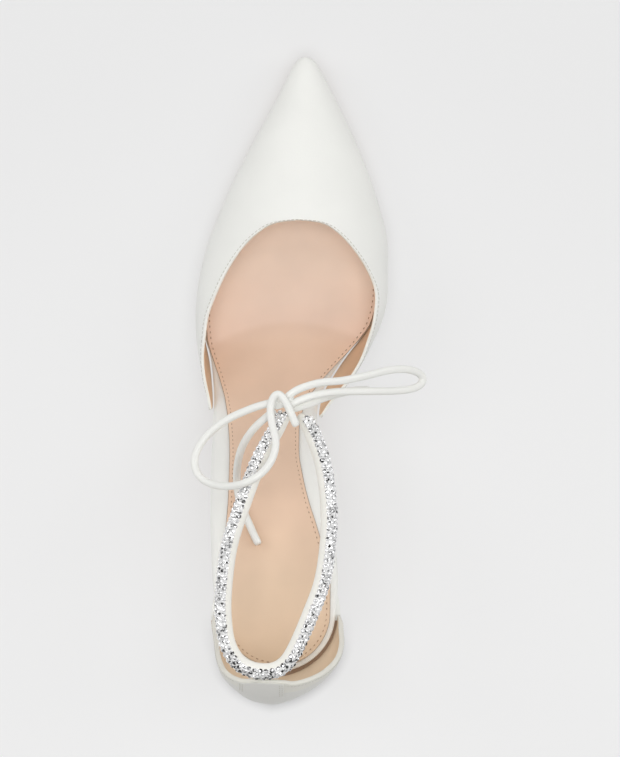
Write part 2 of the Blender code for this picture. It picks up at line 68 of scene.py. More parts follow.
# Board edge and height. top is the centre height of the board, thick its thickness,
# drop how far the wrapped edge rolls down, tuck how far the underside lies inside the edge.
BOARD_COLUMNS = ("y", "lateral", "medial", "top", "thick", "drop", "tuck")
BOARD_ROWS = (
    (99.5, 2.8, 7.8, 9.3, 2.0, 0.4, 0.3),
    (94.0, 0.2, 10.9, 8.6, 2.0, 0.4, 0.3),
    (83.8, -5.0, 15.9, 7.5, 2.0, 0.4, 0.3),
    (66.3, -14.6, 23.8, 6.0, 2.0, 0.4, 0.3),
    (48.9, -22.7, 29.6, 5.0, 2.0, 0.4, 0.3),
    (31.5, -28.9, 33.1, 4.55, 2.0, 0.4, 0.3),
    (14.0, -32.1, 32.6, 4.5, 2.0, 0.4, 0.3),
    (3.0, -32.8, 29.9, 4.5, 2.0, 0.4, 0.3),
    (-3.0, -32.2, 26.0, 4.5, 2.0, 0.5, 0.4),
    (-7.0, -31.4, 22.6, 5.4, 2.2, 0.7, 0.5),
    (-11.5, -30.4, 19.1, 7.5, 2.7, 1.0, 0.7),
    (-19.0, -29.6, 14.2, 12.7, 3.4, 1.7, 1.2),
    (-26.5, -29.2, 10.2, 19.9, 4.2, 2.5, 1.8),
    (-35.0, -29.7, 9.5, 29.1, 5.0, 3.2, 2.4),
    (-46.0, -30.1, 10.4, 40.1, 5.6, 3.6, 2.8),
    (-58.0, -30.4, 12.3, 50.3, 5.6, 3.6, 2.8),
    (-70.0, -30.5, 14.6, 57.5, 5.2, 3.2, 2.6),
    (-82.0, -30.2, 16.6, 62.4, 4.6, 2.2, 1.8),
    (-95.0, -29.6, 17.6, 65.4, 4.0, 1.2, 1.2),
    (-106.5, -27.9, 16.7, 67.8, 3.6, 0.5, 0.6),
)

# The seat end of the board is a half circle, and the counter's stations lie round it.
SEAT_CENTRE = (-5.6, -106.5)
SEAT_RADIUS = 22.2
SEAT_BACK_TOP = 72.4
SEAT_BACK_THICK = 3.2

# Sock edge, inside the board's edge
SOCK_COLUMNS = ("y", "lateral", "medial")
SOCK_ROWS = (
    (97.0, 2.6, 8.3),
    (83.8, -4.0, 14.9),
    (66.3, -13.4, 22.6),
    (48.9, -21.7, 28.6),
    (31.5, -27.9, 32.1),
    (14.0, -31.8, 32.3),
    (3.8, -32.4, 30.4),
    (-4.0, -31.8, 25.3),
    (-11.5, -29.6, 18.4),
    (-19.3, -27.0, 11.3),
    (-26.5, -25.1, 6.1),
    (-36.0, -23.9, 3.0),
    (-46.0, -23.4, 2.9),
    (-55.0, -23.6, 4.3),
    (-64.0, -23.9, 6.4),
    (-73.0, -24.6, 9.3),
    (-84.0, -25.6, 12.4),
    (-96.0, -26.3, 14.7),
    (-106.5, -25.8, 14.6),
)
SOCK_SEAT_RADIUS = 20.2

# Outsole: its ends, and how far its edge stands out from the board's edge by y
OUTSOLE_TOE = 101.8
OUTSOLE_BREAST = -86.9
OUTSOLE_OUTSET = ((-90.0, -40.0, -18.0, 6.0, 90.0, 101.8), (-2.4, -3.2, -1.2, 1.1, 1.2, 0.6))

# Ahead of TOE_FOOT_FROM the vamp's foot lies a share of the half width inside its widest.
TOE_FOOT_FROM = 97.0
TOE_FOOT_TUCK = 0.10

# Outer edge of the upper at its widest, how high above its foot that lies, and the
# ridge of the last, which carries on over the foot behind the throat
LAST_COLUMNS = ("y", "lateral", "medial", "ridge_x", "ridge_z", "widest")
LAST_ROWS = (
    (103.5, 5.25, 5.35, 5.3, 11.4, 1.4),
    (103.0, 3.3, 7.3, 5.3, 12.6, 1.8),
    (101.6, 1.6, 8.9, 5.3, 14.2, 2.2),
    (98.5, -0.3, 10.9, 5.3, 16.2, 2.7),
    (91.0, -3.9, 14.9, 5.1, 19.2, 3.2),
    (83.8, -7.7, 18.5, 4.9, 21.4, 3.4),
    (66.3, -17.3, 26.6, 4.0, 26.0, 4.2),
    (48.9, -25.6, 32.8, 3.1, 32.0, 5.6),
    (31.5, -32.2, 36.6, 2.0, 38.0, 8.0),
    (14.0, -35.8, 36.6, 1.0, 42.0, 10.5),
    (4.0, -36.4, 34.7, 0.4, 44.5, 12.0),
    (-4.0, -36.0, 31.2, -0.5, 47.0, 13.0),
    (-12.0, -34.8, 27.3, -2.0, 52.0, 13.0),
    (-18.0, -33.7, 23.4, -4.0, 56.0, 11.5),
    (-26.0, -31.9, 16.6, -7.0, 62.0, 6.5),
    (-30.5, -31.1, 12.9, -8.0, 66.0, 2.8),
    (-34.0, -31.1, 11.2, -9.0, 70.0, 1.6),
)

# Topline of the vamp from the throat to each wing tip. turn is 1 on the ridge,
# 0 at the upper's widest and FOOT_TURN at its foot.
FOOT_TURN = -0.2
TOPLINE_COLUMNS = ("along", "y_lateral", "turn_lateral", "y_medial", "turn_medial")
TOPLINE_ROWS = (
    (0.00, 41.6, 1.00, 41.6, 1.00),
    (0.07, 41.3, 0.90, 41.3, 0.90),
    (0.14, 40.3, 0.80, 40.2, 0.80),
    (0.24, 36.8, 0.69, 36.6, 0.69),
    (0.34, 31.5, 0.59, 31.3, 0.58),
    (0.45, 24.3, 0.50, 24.0, 0.445),
    (0.56, 14.0, 0.40, 15.0, 0.32),
    (0.66, 5.5, 0.31, 7.0, 0.285),
    (0.75, -3.0, 0.25, -1.0, 0.228),
    (0.84, -11.7, 0.135, -10.0, 0.15),
    (0.92, -20.5, 0.04, -20.0, 0.06),
    (0.96, -25.5, 0.00, -26.7, 0.01),
    (1.00, -30.5, -0.10, -33.4, -0.10),
)

# Counter: outer radius about the seat centre at the bottom, bulge and topline, by angle
# from the medial side (0) round the back (90) to the lateral side (180) in degrees.
COUNTER_COLUMNS = ("angle", "foot", "bulge", "rim", "rim_z", "bulge_at")
COUNTER_ROWS = (
    (2.0, 24.8, 24.8, 24.8, 70.5, 0.55),
    (14.0, 24.8, 25.6, 25.9, 78.2, 0.55),
    (26.0, 24.8, 27.6, 28.1, 88.7, 0.55),
    (38.0, 24.8, 29.5, 29.3, 98.2, 0.52),
    (50.0, 24.8, 30.5, 29.0, 106.7, 0.5),
    (63.0, 24.9, 31.3, 28.2, 113.8, 0.48),
    (76.0, 25.1, 32.5, 27.4, 118.2, 0.46),
    (84.0, 25.3, 33.6, 26.2, 120.8, 0.46),
    (93.0, 25.4, 34.5, 25.7, 121.3, 0.46),
    (106.0, 25.3, 34.2, 26.3, 120.8, 0.46),
    (118.0, 25.1, 32.6, 28.9, 116.6, 0.46),
    (130.0, 24.9, 31.0, 29.8, 108.8, 0.48),
    (142.0, 24.8, 28.5, 28.3, 97.7, 0.52),
    (154.0, 24.8, 25.9, 26.0, 86.5, 0.55),
    (166.0, 24.8, 24.9, 24.9, 76.6, 0.55),
    (178.0, 24.8, 24.8, 24.8, 70.5, 0.55),
)

# Heel sections from the seat down, with the front, back and half width of each. square
# is under 1 where the front is flatter than a half ellipse.
HEEL_COLUMNS = ("down", "front", "back", "half", "square")
HEEL_ROWS = (
    (0.00, -87.3, -131.8, 24.4, 0.50),
    (0.05, -89.5, -132.0, 22.6, 0.60),
    (0.14, -96.5, -132.0, 17.4, 0.72),
    (0.27, -106.0, -131.0, 11.6, 0.85),
    (0.45, -113.0, -129.0, 7.4, 0.95),
    (0.68, -116.4, -127.0, 5.2, 1.00),
    (0.88, -117.6, -126.4, 4.4, 1.00),
    (1.00, -117.8, -126.6, 4.5, 1.00),
)
HEEL_X = -5.8

# Centre line of the ankle strap from its lateral tip round the back to its medial tip
STRAP_ROUTE = (
    (-1.4, -31.4, 89.0),
    (-4.4, -36.2, 91.7),
    (-8.3, -42.6, 94.0),
    (-12.8, -51.6, 96.2),
    (-18.7, -67.7, 101.2),
    (-22.9, -81.3, 106.2),
    (-24.9, -96.6, 111.8),
    (-25.1, -108.0, 115.8),
    (-23.3, -118.6, 119.2),
    (-18.2, -125.6, 121.2),
    (-9.8, -127.9, 121.9),
    (-3.2, -125.8, 121.5),
    (1.2, -119.6, 120.2),
    (6.6, -107.2, 116.2),
    (11.4, -93.8, 111.0),
    (13.7, -77.0, 104.7),
    (13.6, -63.8, 100.0),
    (11.4, -49.6, 95.7),
    (7.8, -39.4, 92.6),
    (5.4, -35.4, 90.8),
    (3.4, -32.2, 89.0),
)

# Lace routes, tube centre lines from the knot
LOOP_LEFT_ROUTE = (
    (-4.9, -27.0, 93.0),
    (-8.4, -27.7, 92.8),
    (-14.8, -29.6, 92.4),
    (-24.6, -34.1, 90.2),
    (-32.4, -40.6, 88.2),
    (-36.3, -48.0, 88.0),
    (-35.2, -54.4, 90.2),
    (-30.6, -57.8, 93.6),
    (-24.2, -58.9, 99.0),
    (-17.4, -57.6, 104.2),
    (-11.2, -54.0, 104.0),
    (-7.2, -48.6, 102.4),
    (-5.8, -42.2, 100.6),
    (-7.2, -35.6, 98.4),
    (-7.9, -29.6, 96.9),
    (-6.7, -25.2, 96.6),
    (-4.7, -23.9, 96.7),
    (-2.8, -26.2, 97.3),
    (-0.9, -29.6, 97.3),
    (0.6, -33.2, 97.0),
    (1.9, -36.2, 96.4),
)
LOOP_RIGHT_ROUTE = (
    (-1.8, -25.6, 93.4),
    (1.0, -23.3, 93.8),
    (4.8, -21.6, 93.8),
    (11.0, -19.9, 93.4),
    (19.0, -19.2, 91.8),
    (28.4, -17.3, 88.2),
    (36.0, -15.4, 83.8),
    (43.0, -14.9, 78.6),
    (48.4, -16.6, 74.2),
    (49.6, -19.6, 72.8),
    (46.4, -22.0, 75.2),
    (39.8, -23.0, 80.4),
    (29.2, -23.2, 86.8),
    (17.1, -23.4, 91.0),
    (9.0, -24.6, 93.0),
    (3.0, -26.6, 93.6),
    (-0.9, -28.6, 93.5),
)
END_LEFT_ROUTE = (
    (-6.2, -30.4, 90.6),
    (-9.9, -33.3, 89.6),
    (-13.8, -36.9, 87.0),
    (-17.0, -41.2, 82.0),
    (-19.2, -46.0, 75.0),
    (-20.3, -51.2, 66.8),
    (-20.6, -56.2, 60.5),
    (-20.2, -61.0, 57.6),
    (-19.0, -66.0, 58.7),
    (-16.8, -71.2, 61.5),
    (-14.6, -76.2, 63.9),
    (-12.4, -80.8, 65.6),
)
END_RIGHT_ROUTE = (
    (0.4, -29.9, 90.8),
    (6.0, -28.2, 89.2),
    (12.0, -25.8, 85.9),
    (18.5, -23.9, 80.1),
    (24.5, -22.8, 72.8),
    (29.0, -22.6, 64.0),
)

# Shares of the way up a row of the vamp or of the counter, closer together at its edges
VAMP_SHARES = (0.0, 0.05, 0.12, 0.21, 0.31, 0.42, 0.53, 0.64, 0.75, 0.85, 0.93, 0.975, 1.0)
COUNTER_SHARES = (0.0, 0.02, 0.08, 0.17, 0.28, 0.40, 0.52, 0.64, 0.76, 0.86, 0.94, 0.98, 1.0)

# The vamp's rows from the toe to the throat, where the fan round the throat starts, how
# many rows it has, and how far its foot stands out from the board
VAMP_TOE_ROWS = (103.5, 103.3, 102.9, 102.2, 101.2, 99.8, 97.5, *range(94, 45, -4))
VAMP_FAN_FROM = 43.0
VAMP_FAN_ROWS = 30
VAMP_FOOT_OUTSET = 1.65

# Shells: the reach within which their panels weld, and how crisp their cut edges stay.
# Lofted pieces keep edges crisp over an angle in degrees.
WELD_REACH = 0.02
RIM_CREASE = 0.35
CRISP_ANGLE = 50.0

# Stitches: length and radius of the thread that shows. A stitch is a bead with rings at
# places along it, of sizes that are shares of its radius.
TOPSTITCH = (1.15, 0.17)
SOCK_STITCH = (1.0, 0.2)
STITCH_TAPER = ((-0.5, 0.35), (-0.32, 0.9), (0.0, 1.0), (0.32, 0.9), (0.5, 0.35))
STITCH_TURNS = [side * math.pi / 3 for side in range(6)]

# Sole: where its stations start and how far apart they lie, and how many lie round the seat
SOLE_STATIONS_FROM = 97.0
SOLE_STATION_STEP = 2.5
BOARD_SEAT_STATIONS = 20
SOCK_SEAT_STATIONS = 24

# How far the board's edge rolls in: a first length, a further one for each millimetre that
# it rolls down, and at most a share of the board's width
BOARD_ROLL = (0.6, 1.7, 0.4)

# Radii of the sock's upper edge and of the outsole's lower one, how much the outsole's
# upper edge is trimmed, and where a rounded edge's middle lies as a share of its radius
SOCK_ROLL = 0.5
OUTSOLE_ROLL = 0.6
OUTSOLE_TRIM = 0.2
ROUND_MID = 0.3

# Sock: places across it from edge to edge, how far its middle dips, and where its stitch
# line starts
SOCK_SHARES = (0.98, 0.93, 0.84, 0.7, 0.5, 0.25, 0.0, -0.25, -0.5, -0.7, -0.84, -0.93, -0.98)
SOCK_DIP = 0.45
SOCK_SEAM_FROM = 44.0

# Counter: its stations, and the rows of its leather, from the top, under the folded edge
COUNTER_STATIONS = 67
COUNTER_FOLD_ROWS = 3

# The tab on the counter's back: its edges and seams across the shoe, and the shares of the
# wall between which it and its seams run. It lies between two angles round the seat.
TAB_ANGLES = (60.0, 130.0)
TAB_LEFT_X = -20.1
TAB_RIGHT_X = -2.7
TAB_SEAMS = (-19.4, -18.4, -4.4, -3.4)
TAB_SHARES = (0.80, 0.995)
TAB_SEAM_SHARES = (0.82, 0.985)
TAB_THICK = 0.45

# The topline's stitches stop this far short of the tab, and the tab's own stitches face
# away from a point this far under their foot.
TAB_MARGIN = 0.4
TAB_SEAM_TILT = 12.0

# How the counter is skived at its two front tips: by how much its outer side moves in, and
# over how many degrees on the medial and on the lateral side
SKIVE = 1.35
SKIVE_RUNS = (9.0, 10.0)

# Heel: its rings lie closer together in the flare under the seat. Behind the last place given below,
# along the shoe, its top shows in the gap inside the counter, and there it takes a painted shade of mid
# brown.
HEEL_FLARE_DOWNS = np.linspace(0.0, 0.3, 16)
HEEL_STEM_DOWNS = np.linspace(0.34, 1.0, 20)
HEEL_GAP_SHADE_FROM = -109.0

# Rings of the lift: height from the floor, and size as a share of the heel's foot
LIFT_RINGS = ((0.0, 0.94), (0.3, 1.0), (LIFT_THICK - 0.3, 1.0), (LIFT_THICK, 0.96))

# A tube's sides, and its first rings from either end as shares of its radius
TUBE_SIDES = 20
TUBE_ENDS = (0.80, 0.96, 1.0)

# Strap: the spacing of its line's points and the rounds of evening out, the turn, half width
# and depth of its seam, how far its tips taper and over how many points of its line
STRAP_LINE = (1.0, 4)
STRAP_SEAM = (128.0, 7.0, 0.22)
STRAP_TIP = 0.62
STRAP_TIP_RUN = 13.0

# The stones sit on an arc of the strap's outer side, in degrees from straight out, on a
# skin that starts BAND_SKIN off the strap. Their first row lies inside the arc's upper
# edge, and rows under LOW_ROW stop beside the tab.
BAND_ARC = (-66.0, 99.0)
BAND_SKIN = 0.05
BAND_ROW_INSET = 13.0
BAND_ROW_STEP = 28.0
LOW_ROW = -20.0
TAB_CLEAR_Y = -112.0

# Rings of a stone from its base up: height and reach in radii, and a share of a facet's turn
STONE_CUT = ((-0.25, 0.8, 0.0), (0.0, 1.0, 0.0), (0.34, 0.74, 0.5), (0.52, 0.38, 0.0))

# Stones: the seed of their chances, how far one leans, in degrees, how much its size and
# its place along a row vary, and how far along the strap it takes its direction from
STONE_SEED = 5
STONE_LEAN = 13.0
STONE_SPREAD = 0.12
STONE_AIM = 0.6

# Painted reflections on the stones: tones of their facets, dark, grey and bright in place of what cut
# crystal reflects, by the share of the facets from which each tone holds, and the size of a facet in metres
FACET_REFLECTION_TONES = ((0.0, 0.04), (0.10, 0.34), (0.22, 0.76), (0.38, 1.0))
FACET_SIZE = 0.0009

# Lace: its lines' spacing and rounds of evening out, its seam, and the two crossings that
# make the core of the knot, pulled tighter
LACE_LINE = (0.7, 6)
KNOT_LINE = (0.5, 4)
LACE_SEAM = (70.0, 9.0, 0.16)
KNOT_SHARE = 0.96
KNOT_ROUTES = (
    (
        (-6.0, -28.9, 92.0),
        (-4.6, -28.4, 93.4),
        (-2.6, -27.6, 94.0),
        (-0.6, -26.6, 93.4),
        (0.2, -26.0, 92.0),
    ),
    (
        (-5.4, -26.0, 92.2),
        (-4.0, -26.6, 93.2),
        (-2.4, -27.8, 93.9),
        (-1.2, -29.0, 93.0),
        (-0.4, -30.0, 91.6),
    ),
)

# Depth of the leather's pores, in metres, and the dark side of a thread as a share of its tone
PORE_DEPTH = 0.00006
THREAD_SHADE = 0.82

# Colours, linear
FOLD_COLOUR = (0.86, 0.845, 0.78)
# The counter's folded edge: the fold leather made darker, as painted shade
COUNTER_FOLD_SHADE_COLOUR = (0.75, 0.735, 0.67)
STRAP_COLOUR = (0.86, 0.845, 0.79)
LACE_COLOUR = (0.85, 0.85, 0.815)
SOCK_EDGE_COLOUR = (0.33, 0.21, 0.14)
# Painted shade: a mid brown for the heel's top, which stands for the shade in the gap inside the counter
HEEL_GAP_SHADE_COLOUR = (0.48, 0.32, 0.22)
LIFT_COLOUR = (0.55, 0.44, 0.36)
UPPER_THREAD = (0.68, 0.66, 0.60)
SOCK_THREAD = (0.47, 0.30, 0.20)
MESH_COLOUR = (0.80, 0.80, 0.79)

# Tones of the sock along the shoe, in metres: its own colour, rosy where the toes rest and tanner on the
# rise, with painted shade in a band just behind the ball's crease, and painted light that brightens it
# under the lace bow and towards the throat, where the bow and the vamp shade it.
# The lines of equal tone bow back towards the edges by SOCK_BOW times the square of x.
SOCK_BOW = 9.5
SOCK_TONES_AND_PAINTED_LIGHT = (
    (-0.1310, (0.651, 0.592, 0.490)),
    (-0.1050, (0.711, 0.640, 0.542)),
    (-0.0600, (0.779, 0.673, 0.590)),
    (-0.0140, (0.830, 0.737, 0.663)),
    (-0.0040, (0.808, 0.710, 0.636)),
    (0.0010, (0.785, 0.689, 0.626)),
    (0.0045, (0.834, 0.757, 0.720)),
    (0.0140, (0.833, 0.777, 0.746)),
    (0.0300, (0.889, 0.860, 0.833)),
    (0.0390, (0.970, 0.953, 0.933)),
    (0.0450, (1.0, 1.0, 1.0)),
)

# Painted shade on the white leather along the shoe: a little darker behind the heel, where the counter's
# back lies in shade
HIDE_PAINTED_SHADE = (
    (-0.1420, (0.83, 0.82, 0.81)),
    (-0.1290, (0.86, 0.85, 0.84)),
    (-0.1180, (1.0, 1.0, 1.0)),
    (0.1000, (1.0, 1.0, 1.0)),
)

# Tones of the lining along the shoe: deeper inside the vamp's wings than in the counter
LINING_TINTS = (
    (-0.1300, (1.0, 1.0, 1.0)),
    (-0.0900, (1.0, 1.0, 1.0)),
    (-0.0600, (0.915, 0.788, 0.704)),
    (0.0250, (0.915, 0.788, 0.704)),
    (0.0450, (1.0, 1.0, 1.0)),
)

# Soft shadow on the floor round the counter: its strength by the angle round the seat, from
# the medial side to the lateral side, how far it reaches in metres and how fast it fades
SHADOW_STOPS = (
    (0.0, 0.0),
    (20.0, 0.10),
    (32.0, 0.24),
    (47.0, 0.38),
    (63.0, 0.46),
    (93.0, 0.46),
    (118.0, 0.38),
    (130.0, 0.29),
    (145.0, 0.14),
    (180.0, 0.0),
)
SHADOW_REACH = 0.0052
SHADOW_FADE = 1.7

# A radius of the counter in millimetres over this is a tone under 1, which a ramp can hold.
SHADOW_SCALE = 100.0

# Half the floor's width, in metres
FLOOR_HALF = 3.0

# The floor's glow on the heel's side and on the toe's side, as shares of its strength, and
# where these hold, in metres
GLOW_ENDS = (-0.150, 0.087)
GLOW_SHARES = (1.005, 0.915)

# Painted shade on the stones: how many more of their facets are painted dark behind the heel, and where, in
# metres
BACK_SHADE_ENDS = (-0.1150, -0.1260)
BACK_PAINTED_SHADE = 0.22

# Softboxes: name, place in metres, size and share of the power
SOFTBOXES = (
    ("overhead", (0.0, -0.20, 2.0), 1.2, 1.0),
    ("left_fill", (-1.4, 0.5, 1.1), 0.9, 0.27),
    ("right_fill", (1.4, 0.4, 1.1), 0.9, 0.27),
)

# The room's tone by height, from level with the floor to straight overhead, and its share
# on the heel's side and on the toe's side
ROOM_SIDES = (0.45, 1.35)
ROOM_TONES = ((0.0, 0.85), (0.30, 0.95), (0.45, 0.55), (0.62, 0.55), (0.75, 0.95), (1.0, 1.0))

# Centre of the view, in millimetres
VIEW_CENTRE = (7.0, -18.4)


def column(rows, names, name):
    """One named column of a table."""
    place = names.index(name)
    return np.array([row[place] for row in rows])


def smooth(xs, ys, at):
    """Monotone cubic through the points (xs, ys), read at one place."""
    order = np.argsort(xs)
    xs, ys = np.asarray(xs)[order], np.asarray(ys)[order]
    step = np.diff(xs)
    slope = np.diff(ys) / step
    tangent = np.concatenate(([slope[0]], np.zeros(len(xs) - 2), [slope[-1]]))
    for i in range(1, len(xs) - 1):
        before, after = slope[i - 1], slope[i]
        if before * after > 0:
            wide, near = 2 * step[i] + step[i - 1], step[i] + 2 * step[i - 1]
            tangent[i] = (wide + near) / (wide / before + near / after)
    at = min(max(at, xs[0]), xs[-1])
    i = min(max(int(np.searchsorted(xs, at)) - 1, 0), len(xs) - 2)
    t = (at - xs[i]) / step[i]
    return float(
        (2 * t**3 - 3 * t**2 + 1) * ys[i]
        + (t**3 - 2 * t**2 + t) * step[i] * tangent[i]
        + (3 * t**2 - 2 * t**3) * ys[i + 1]
        + (t**3 - t**2) * step[i] * tangent[i + 1]
    )


def read(rows, names, name, at):
    """A column of a table, read smoothly at a place along its first column."""
    return smooth(column(rows, names, names[0]), column(rows, names, name), at)


def with_seat(name, back, y):
    """A column of the board's table, carried on over the seat to its value at the back."""
    ys = np.append(column(BOARD_ROWS, BOARD_COLUMNS, "y"), SEAT_CENTRE[1] - SEAT_RADIUS)
    return smooth(ys, np.append(column(BOARD_ROWS, BOARD_COLUMNS, name), back), y)


def board_top(y):
    return with_seat("top", SEAT_BACK_TOP, y)


def board_bottom(y):
    return board_top(y) - with_seat("thick", SEAT_BACK_THICK, y)


def edges(rows, names, radius, y):
    """Lateral and medial edge of an outline that ends in the seat's half circle."""
    if y < SEAT_CENTRE[1]:
        half = math.sqrt(max(radius**2 - (y - SEAT_CENTRE[1]) ** 2, 0.0))
        return SEAT_CENTRE[0] - half, SEAT_CENTRE[0] + half
    return read(rows, names, "lateral", y), read(rows, names, "medial", y)


def seat_stations(radius, count):
    """Stations round the seat's half circle, closer together towards the back."""
    turns = [step / count * math.radians(84) for step in range(1, count + 1)]
    return [SEAT_CENTRE[1] - radius * math.sin(turn) for turn in turns]


def unit(vector):
    """The vector at length 1."""
    return vector / max(np.linalg.norm(vector), 1e-9)


def run_along(line):
    """The distance along a line to each of its points."""
    steps = np.linalg.norm(np.diff(line, axis=0), axis=1)
    return np.concatenate(([0.0], np.cumsum(steps)))


def place_on(line, run, at):
    """The line, or the values along it, at a distance or at several."""
    return np.stack([np.interp(at, run, line[:, k]) for k in range(3)], axis=-1)


def route(stops, spacing):
    """Points about spacing apart on a Catmull-Rom curve through a short route."""
    stops = [np.array(stop, float) for stop in stops]
    ends = [2 * stops[0] - stops[1], *stops, 2 * stops[-1] - stops[-2]]
    fine = []
    for a, b, c, d in zip(ends, ends[1:], ends[2:], ends[3:]):
        for t in np.linspace(0.0, 1.0, 24, endpoint=False):
            bend = (2 * a - 5 * b + 4 * c - d) * t**2 + (3 * b - a - 3 * c + d) * t**3
            fine.append(b + 0.5 * ((c - a) * t + bend))
    fine = np.array([*fine, stops[-1]])
    run = run_along(fine)
    return place_on(fine, run, np.linspace(0.0, run[-1], round(run[-1] / spacing) + 1))


def laid_line(stops, spacing, rounds):
    """A route's points with their bends evened out so many times, the ends kept."""
    line = route(stops, spacing)
    for _ in range(rounds):
        line = np.vstack((line[:1], (line[:-2] + 2 * line[1:-1] + line[2:]) / 4, line[-1:]))
    return line


def new_piece(name, work, shades, node=None, sharp=None, flat=False):
    """The bmesh, whose points are in millimetres, as a piece on the shoe's body. It is smooth,
    but for edges over the sharp angle in degrees, or flat all over."""
    bmesh.ops.scale(work, vec=(MM, MM, MM), verts=work.verts)
    mesh = bpy.data.meshes.new(name)
    work.to_mesh(mesh)
    work.free()
    for shade in shades:
        mesh.materials.append(bpy.data.materials[shade])
    if flat:
        mesh.shade_flat()
    else:
        mesh.shade_smooth()
    if sharp:
        mesh.set_sharp_from_angle(angle=math.radians(sharp))
    piece = bpy.data.objects.new(name, mesh)
    bpy.context.scene.collection.objects.link(piece)
    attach(piece, BODY)
    if node:
        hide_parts(node)
    return piece


def lay_grid(work, grid, fold):
    """Quads over a grid of points, the last few of each row in the third material."""
    verts = [[work.verts.new(point) for point in row] for row in grid]
    for near, far in zip(verts, verts[1:]):
        for i in range(len(near) - 1):
            face = work.faces.new((near[i], near[i + 1], far[i + 1], far[i]))
            face.material_index = 2 if i >= len(near) - 1 - fold else 0


def add_shell(name, grids, thickness, shades, node, fold=0):
    """Leather cut to open grids, welded where they meet. Its lining and its folded edge
    are the second and the third of the materials. The fold covers so many top rows."""
    work = bmesh.new()
    for grid in grids:
        lay_grid(work, grid, fold)
    bmesh.ops.remove_doubles(work, verts=work.verts, dist=WELD_REACH)
    piece = new_piece(name, work, shades, node)
    wall = piece.modifiers.new("wall", "SOLIDIFY")
    wall.thickness = thickness
    wall.offset = -1.0
    wall.use_quality_normals = True
    wall.material_offset = 1
    wall.material_offset_rim = 2
    wall.edge_crease_rim = RIM_CREASE
    smoother = piece.modifiers.new("subdivision", "SUBSURF")
    smoother.levels = smoother.render_levels = 2
    return piece


def lay_skin(work, rings, ladder=False):
    """A closed skin over rings of points. A ladder cap joins the two sides of a first ring
    that isn't flat, whose points come in pairs at the same y."""
    verts = [[work.verts.new(point) for point in ring] for ring in rings]
    count = len(verts[0])
    loops = []
    for near, far in zip(verts, verts[1:]):
        for i in range(count):
            j = (i + 1) % count
            loops.append((near[i], near[j], far[j], far[i]))
    if ladder:
        for i in range(count // 2):
            corners = [verts[0][k % count] for k in (i, i + 1, -i - 1, -i)]
            loops.append(list(dict.fromkeys(corners)))
    else:
        loops.append(verts[0])
    loops.append(verts[-1])
    faces = [work.faces.new(loop) for loop in loops]
    bmesh.ops.recalc_face_normals(work, faces=faces)


def add_loft(name, rings, shades, node, ladder=False):
    """A piece with a closed skin over rings of points, its edges kept crisp."""
    work = bmesh.new()
    lay_skin(work, rings, ladder)
    return new_piece(name, work, shades, node, sharp=CRISP_ANGLE)


def lay_tube(work, line, radius, seam, level=False, shares=None):
    """A tube along a line with slightly rounded ends. seam is the turn in degrees, the half
    width in degrees and the depth in millimetres of a groove that runs along it. The turn
    starts straight out all the way if the tube is level. shares gives parts of the radius."""
    turns = np.linspace(0.0, 2 * math.pi, TUBE_SIDES, endpoint=False)
    side = unit(np.cross(line[1] - line[0], (0.0, 0.0, 1.0)))
    rings = []
    last = len(line) - 1
    for i, place in enumerate(line):
        along = unit(line[min(i + 1, last)] - line[max(i - 1, 0)])
        if level:
            side = np.cross(along, (0.0, 0.0, 1.0))
        side = unit(side - along * np.dot(side, along))
        over = np.cross(side, along)
        narrow = TUBE_ENDS[min(i, last - i, 2)] * (1.0 if shares is None else shares[i])
        ring = []
        for turn in turns:
            away = (math.degrees(turn) - seam[0] + 180) % 360 - 180
            size = radius * narrow - seam[2] * math.exp(-((away / seam[1]) ** 2))
            ring.append(place + (side * math.cos(turn) + over * math.sin(turn)) * size)
        rings.append(ring)
    lay_skin(work, rings)


def lay_stitch(work, middle, along, out, length, radius):
    """One stitch of thread: a short bead, tapered at both ends where it goes into the leather."""
    along, out = unit(along), unit(out)
    side = np.cross(along, out)
    rings = []
    for reach, size in STITCH_TAPER:
        centre = middle + along * length * reach + out * radius * (size - 1.0)
        arms = [side * math.cos(turn) + out * math.sin(turn) for turn in STITCH_TURNS]
        rings.append([centre + arm * radius * size for arm in arms])
    lay_skin(work, rings)


def add_stitching(name, seams, pitch, thread_size, shade):
    """Rows of stitches. Each seam is a line of points on the leather and the line's outward
    directions."""
    work = bmesh.new()
    for line, outs in seams:
        line, outs = np.array(line), np.array(outs)
        run = run_along(line)
        count = max(round(run[-1] / pitch), 1)
        for step in range(count):
            at = (step + 0.5) * run[-1] / count
            behind, middle, ahead = place_on(line, run, (at - pitch / 4, at, at + pitch / 4))
            lay_stitch(work, middle, ahead - behind, place_on(outs, run, at), *thread_size)
    return new_piece(name, work, [shade])


def feed(tree, well, value):
    """Links a socket to an input, or sets the input to a number or to a colour."""
    if isinstance(value, bpy.types.NodeSocket):
        tree.links.new(value, well)
    elif isinstance(value, (int, float)):
        well.default_value = value
    else:
        well.default_value = (*value, 1.0)


def add_node(tree, kind, **settings):
    """A node of a tree, with its properties and, by their names, its inputs set or linked."""
    made = tree.nodes.new(kind)
    for name, value in settings.items():
        socket = made.inputs.get(name.replace("_", " ").title())
        if hasattr(made, name):
            setattr(made, name, value)
        elif socket:
            feed(tree, socket, value)
        else:
            raise ValueError(f"{kind} has no {name}")
    return made


def reckon(tree, operation, *values, **settings):
    """The result of a sum on numbers and sockets."""
    made = add_node(tree, "ShaderNodeMath", operation=operation, **settings)
    for well, value in zip(made.inputs, values):
        feed(tree, well, value)
    return made.outputs[0]


def spread(tree, value, **ends):
    """A value moved from one span, 0 to 1 unless it's given, to another."""
    return add_node(tree, "ShaderNodeMapRange", value=value, **ends).outputs[0]


def parts_of(tree, vector):
    """The X, Y and Z of a place or the channels of a colour."""
    return add_node(tree, "ShaderNodeSeparateXYZ", vector=vector).outputs


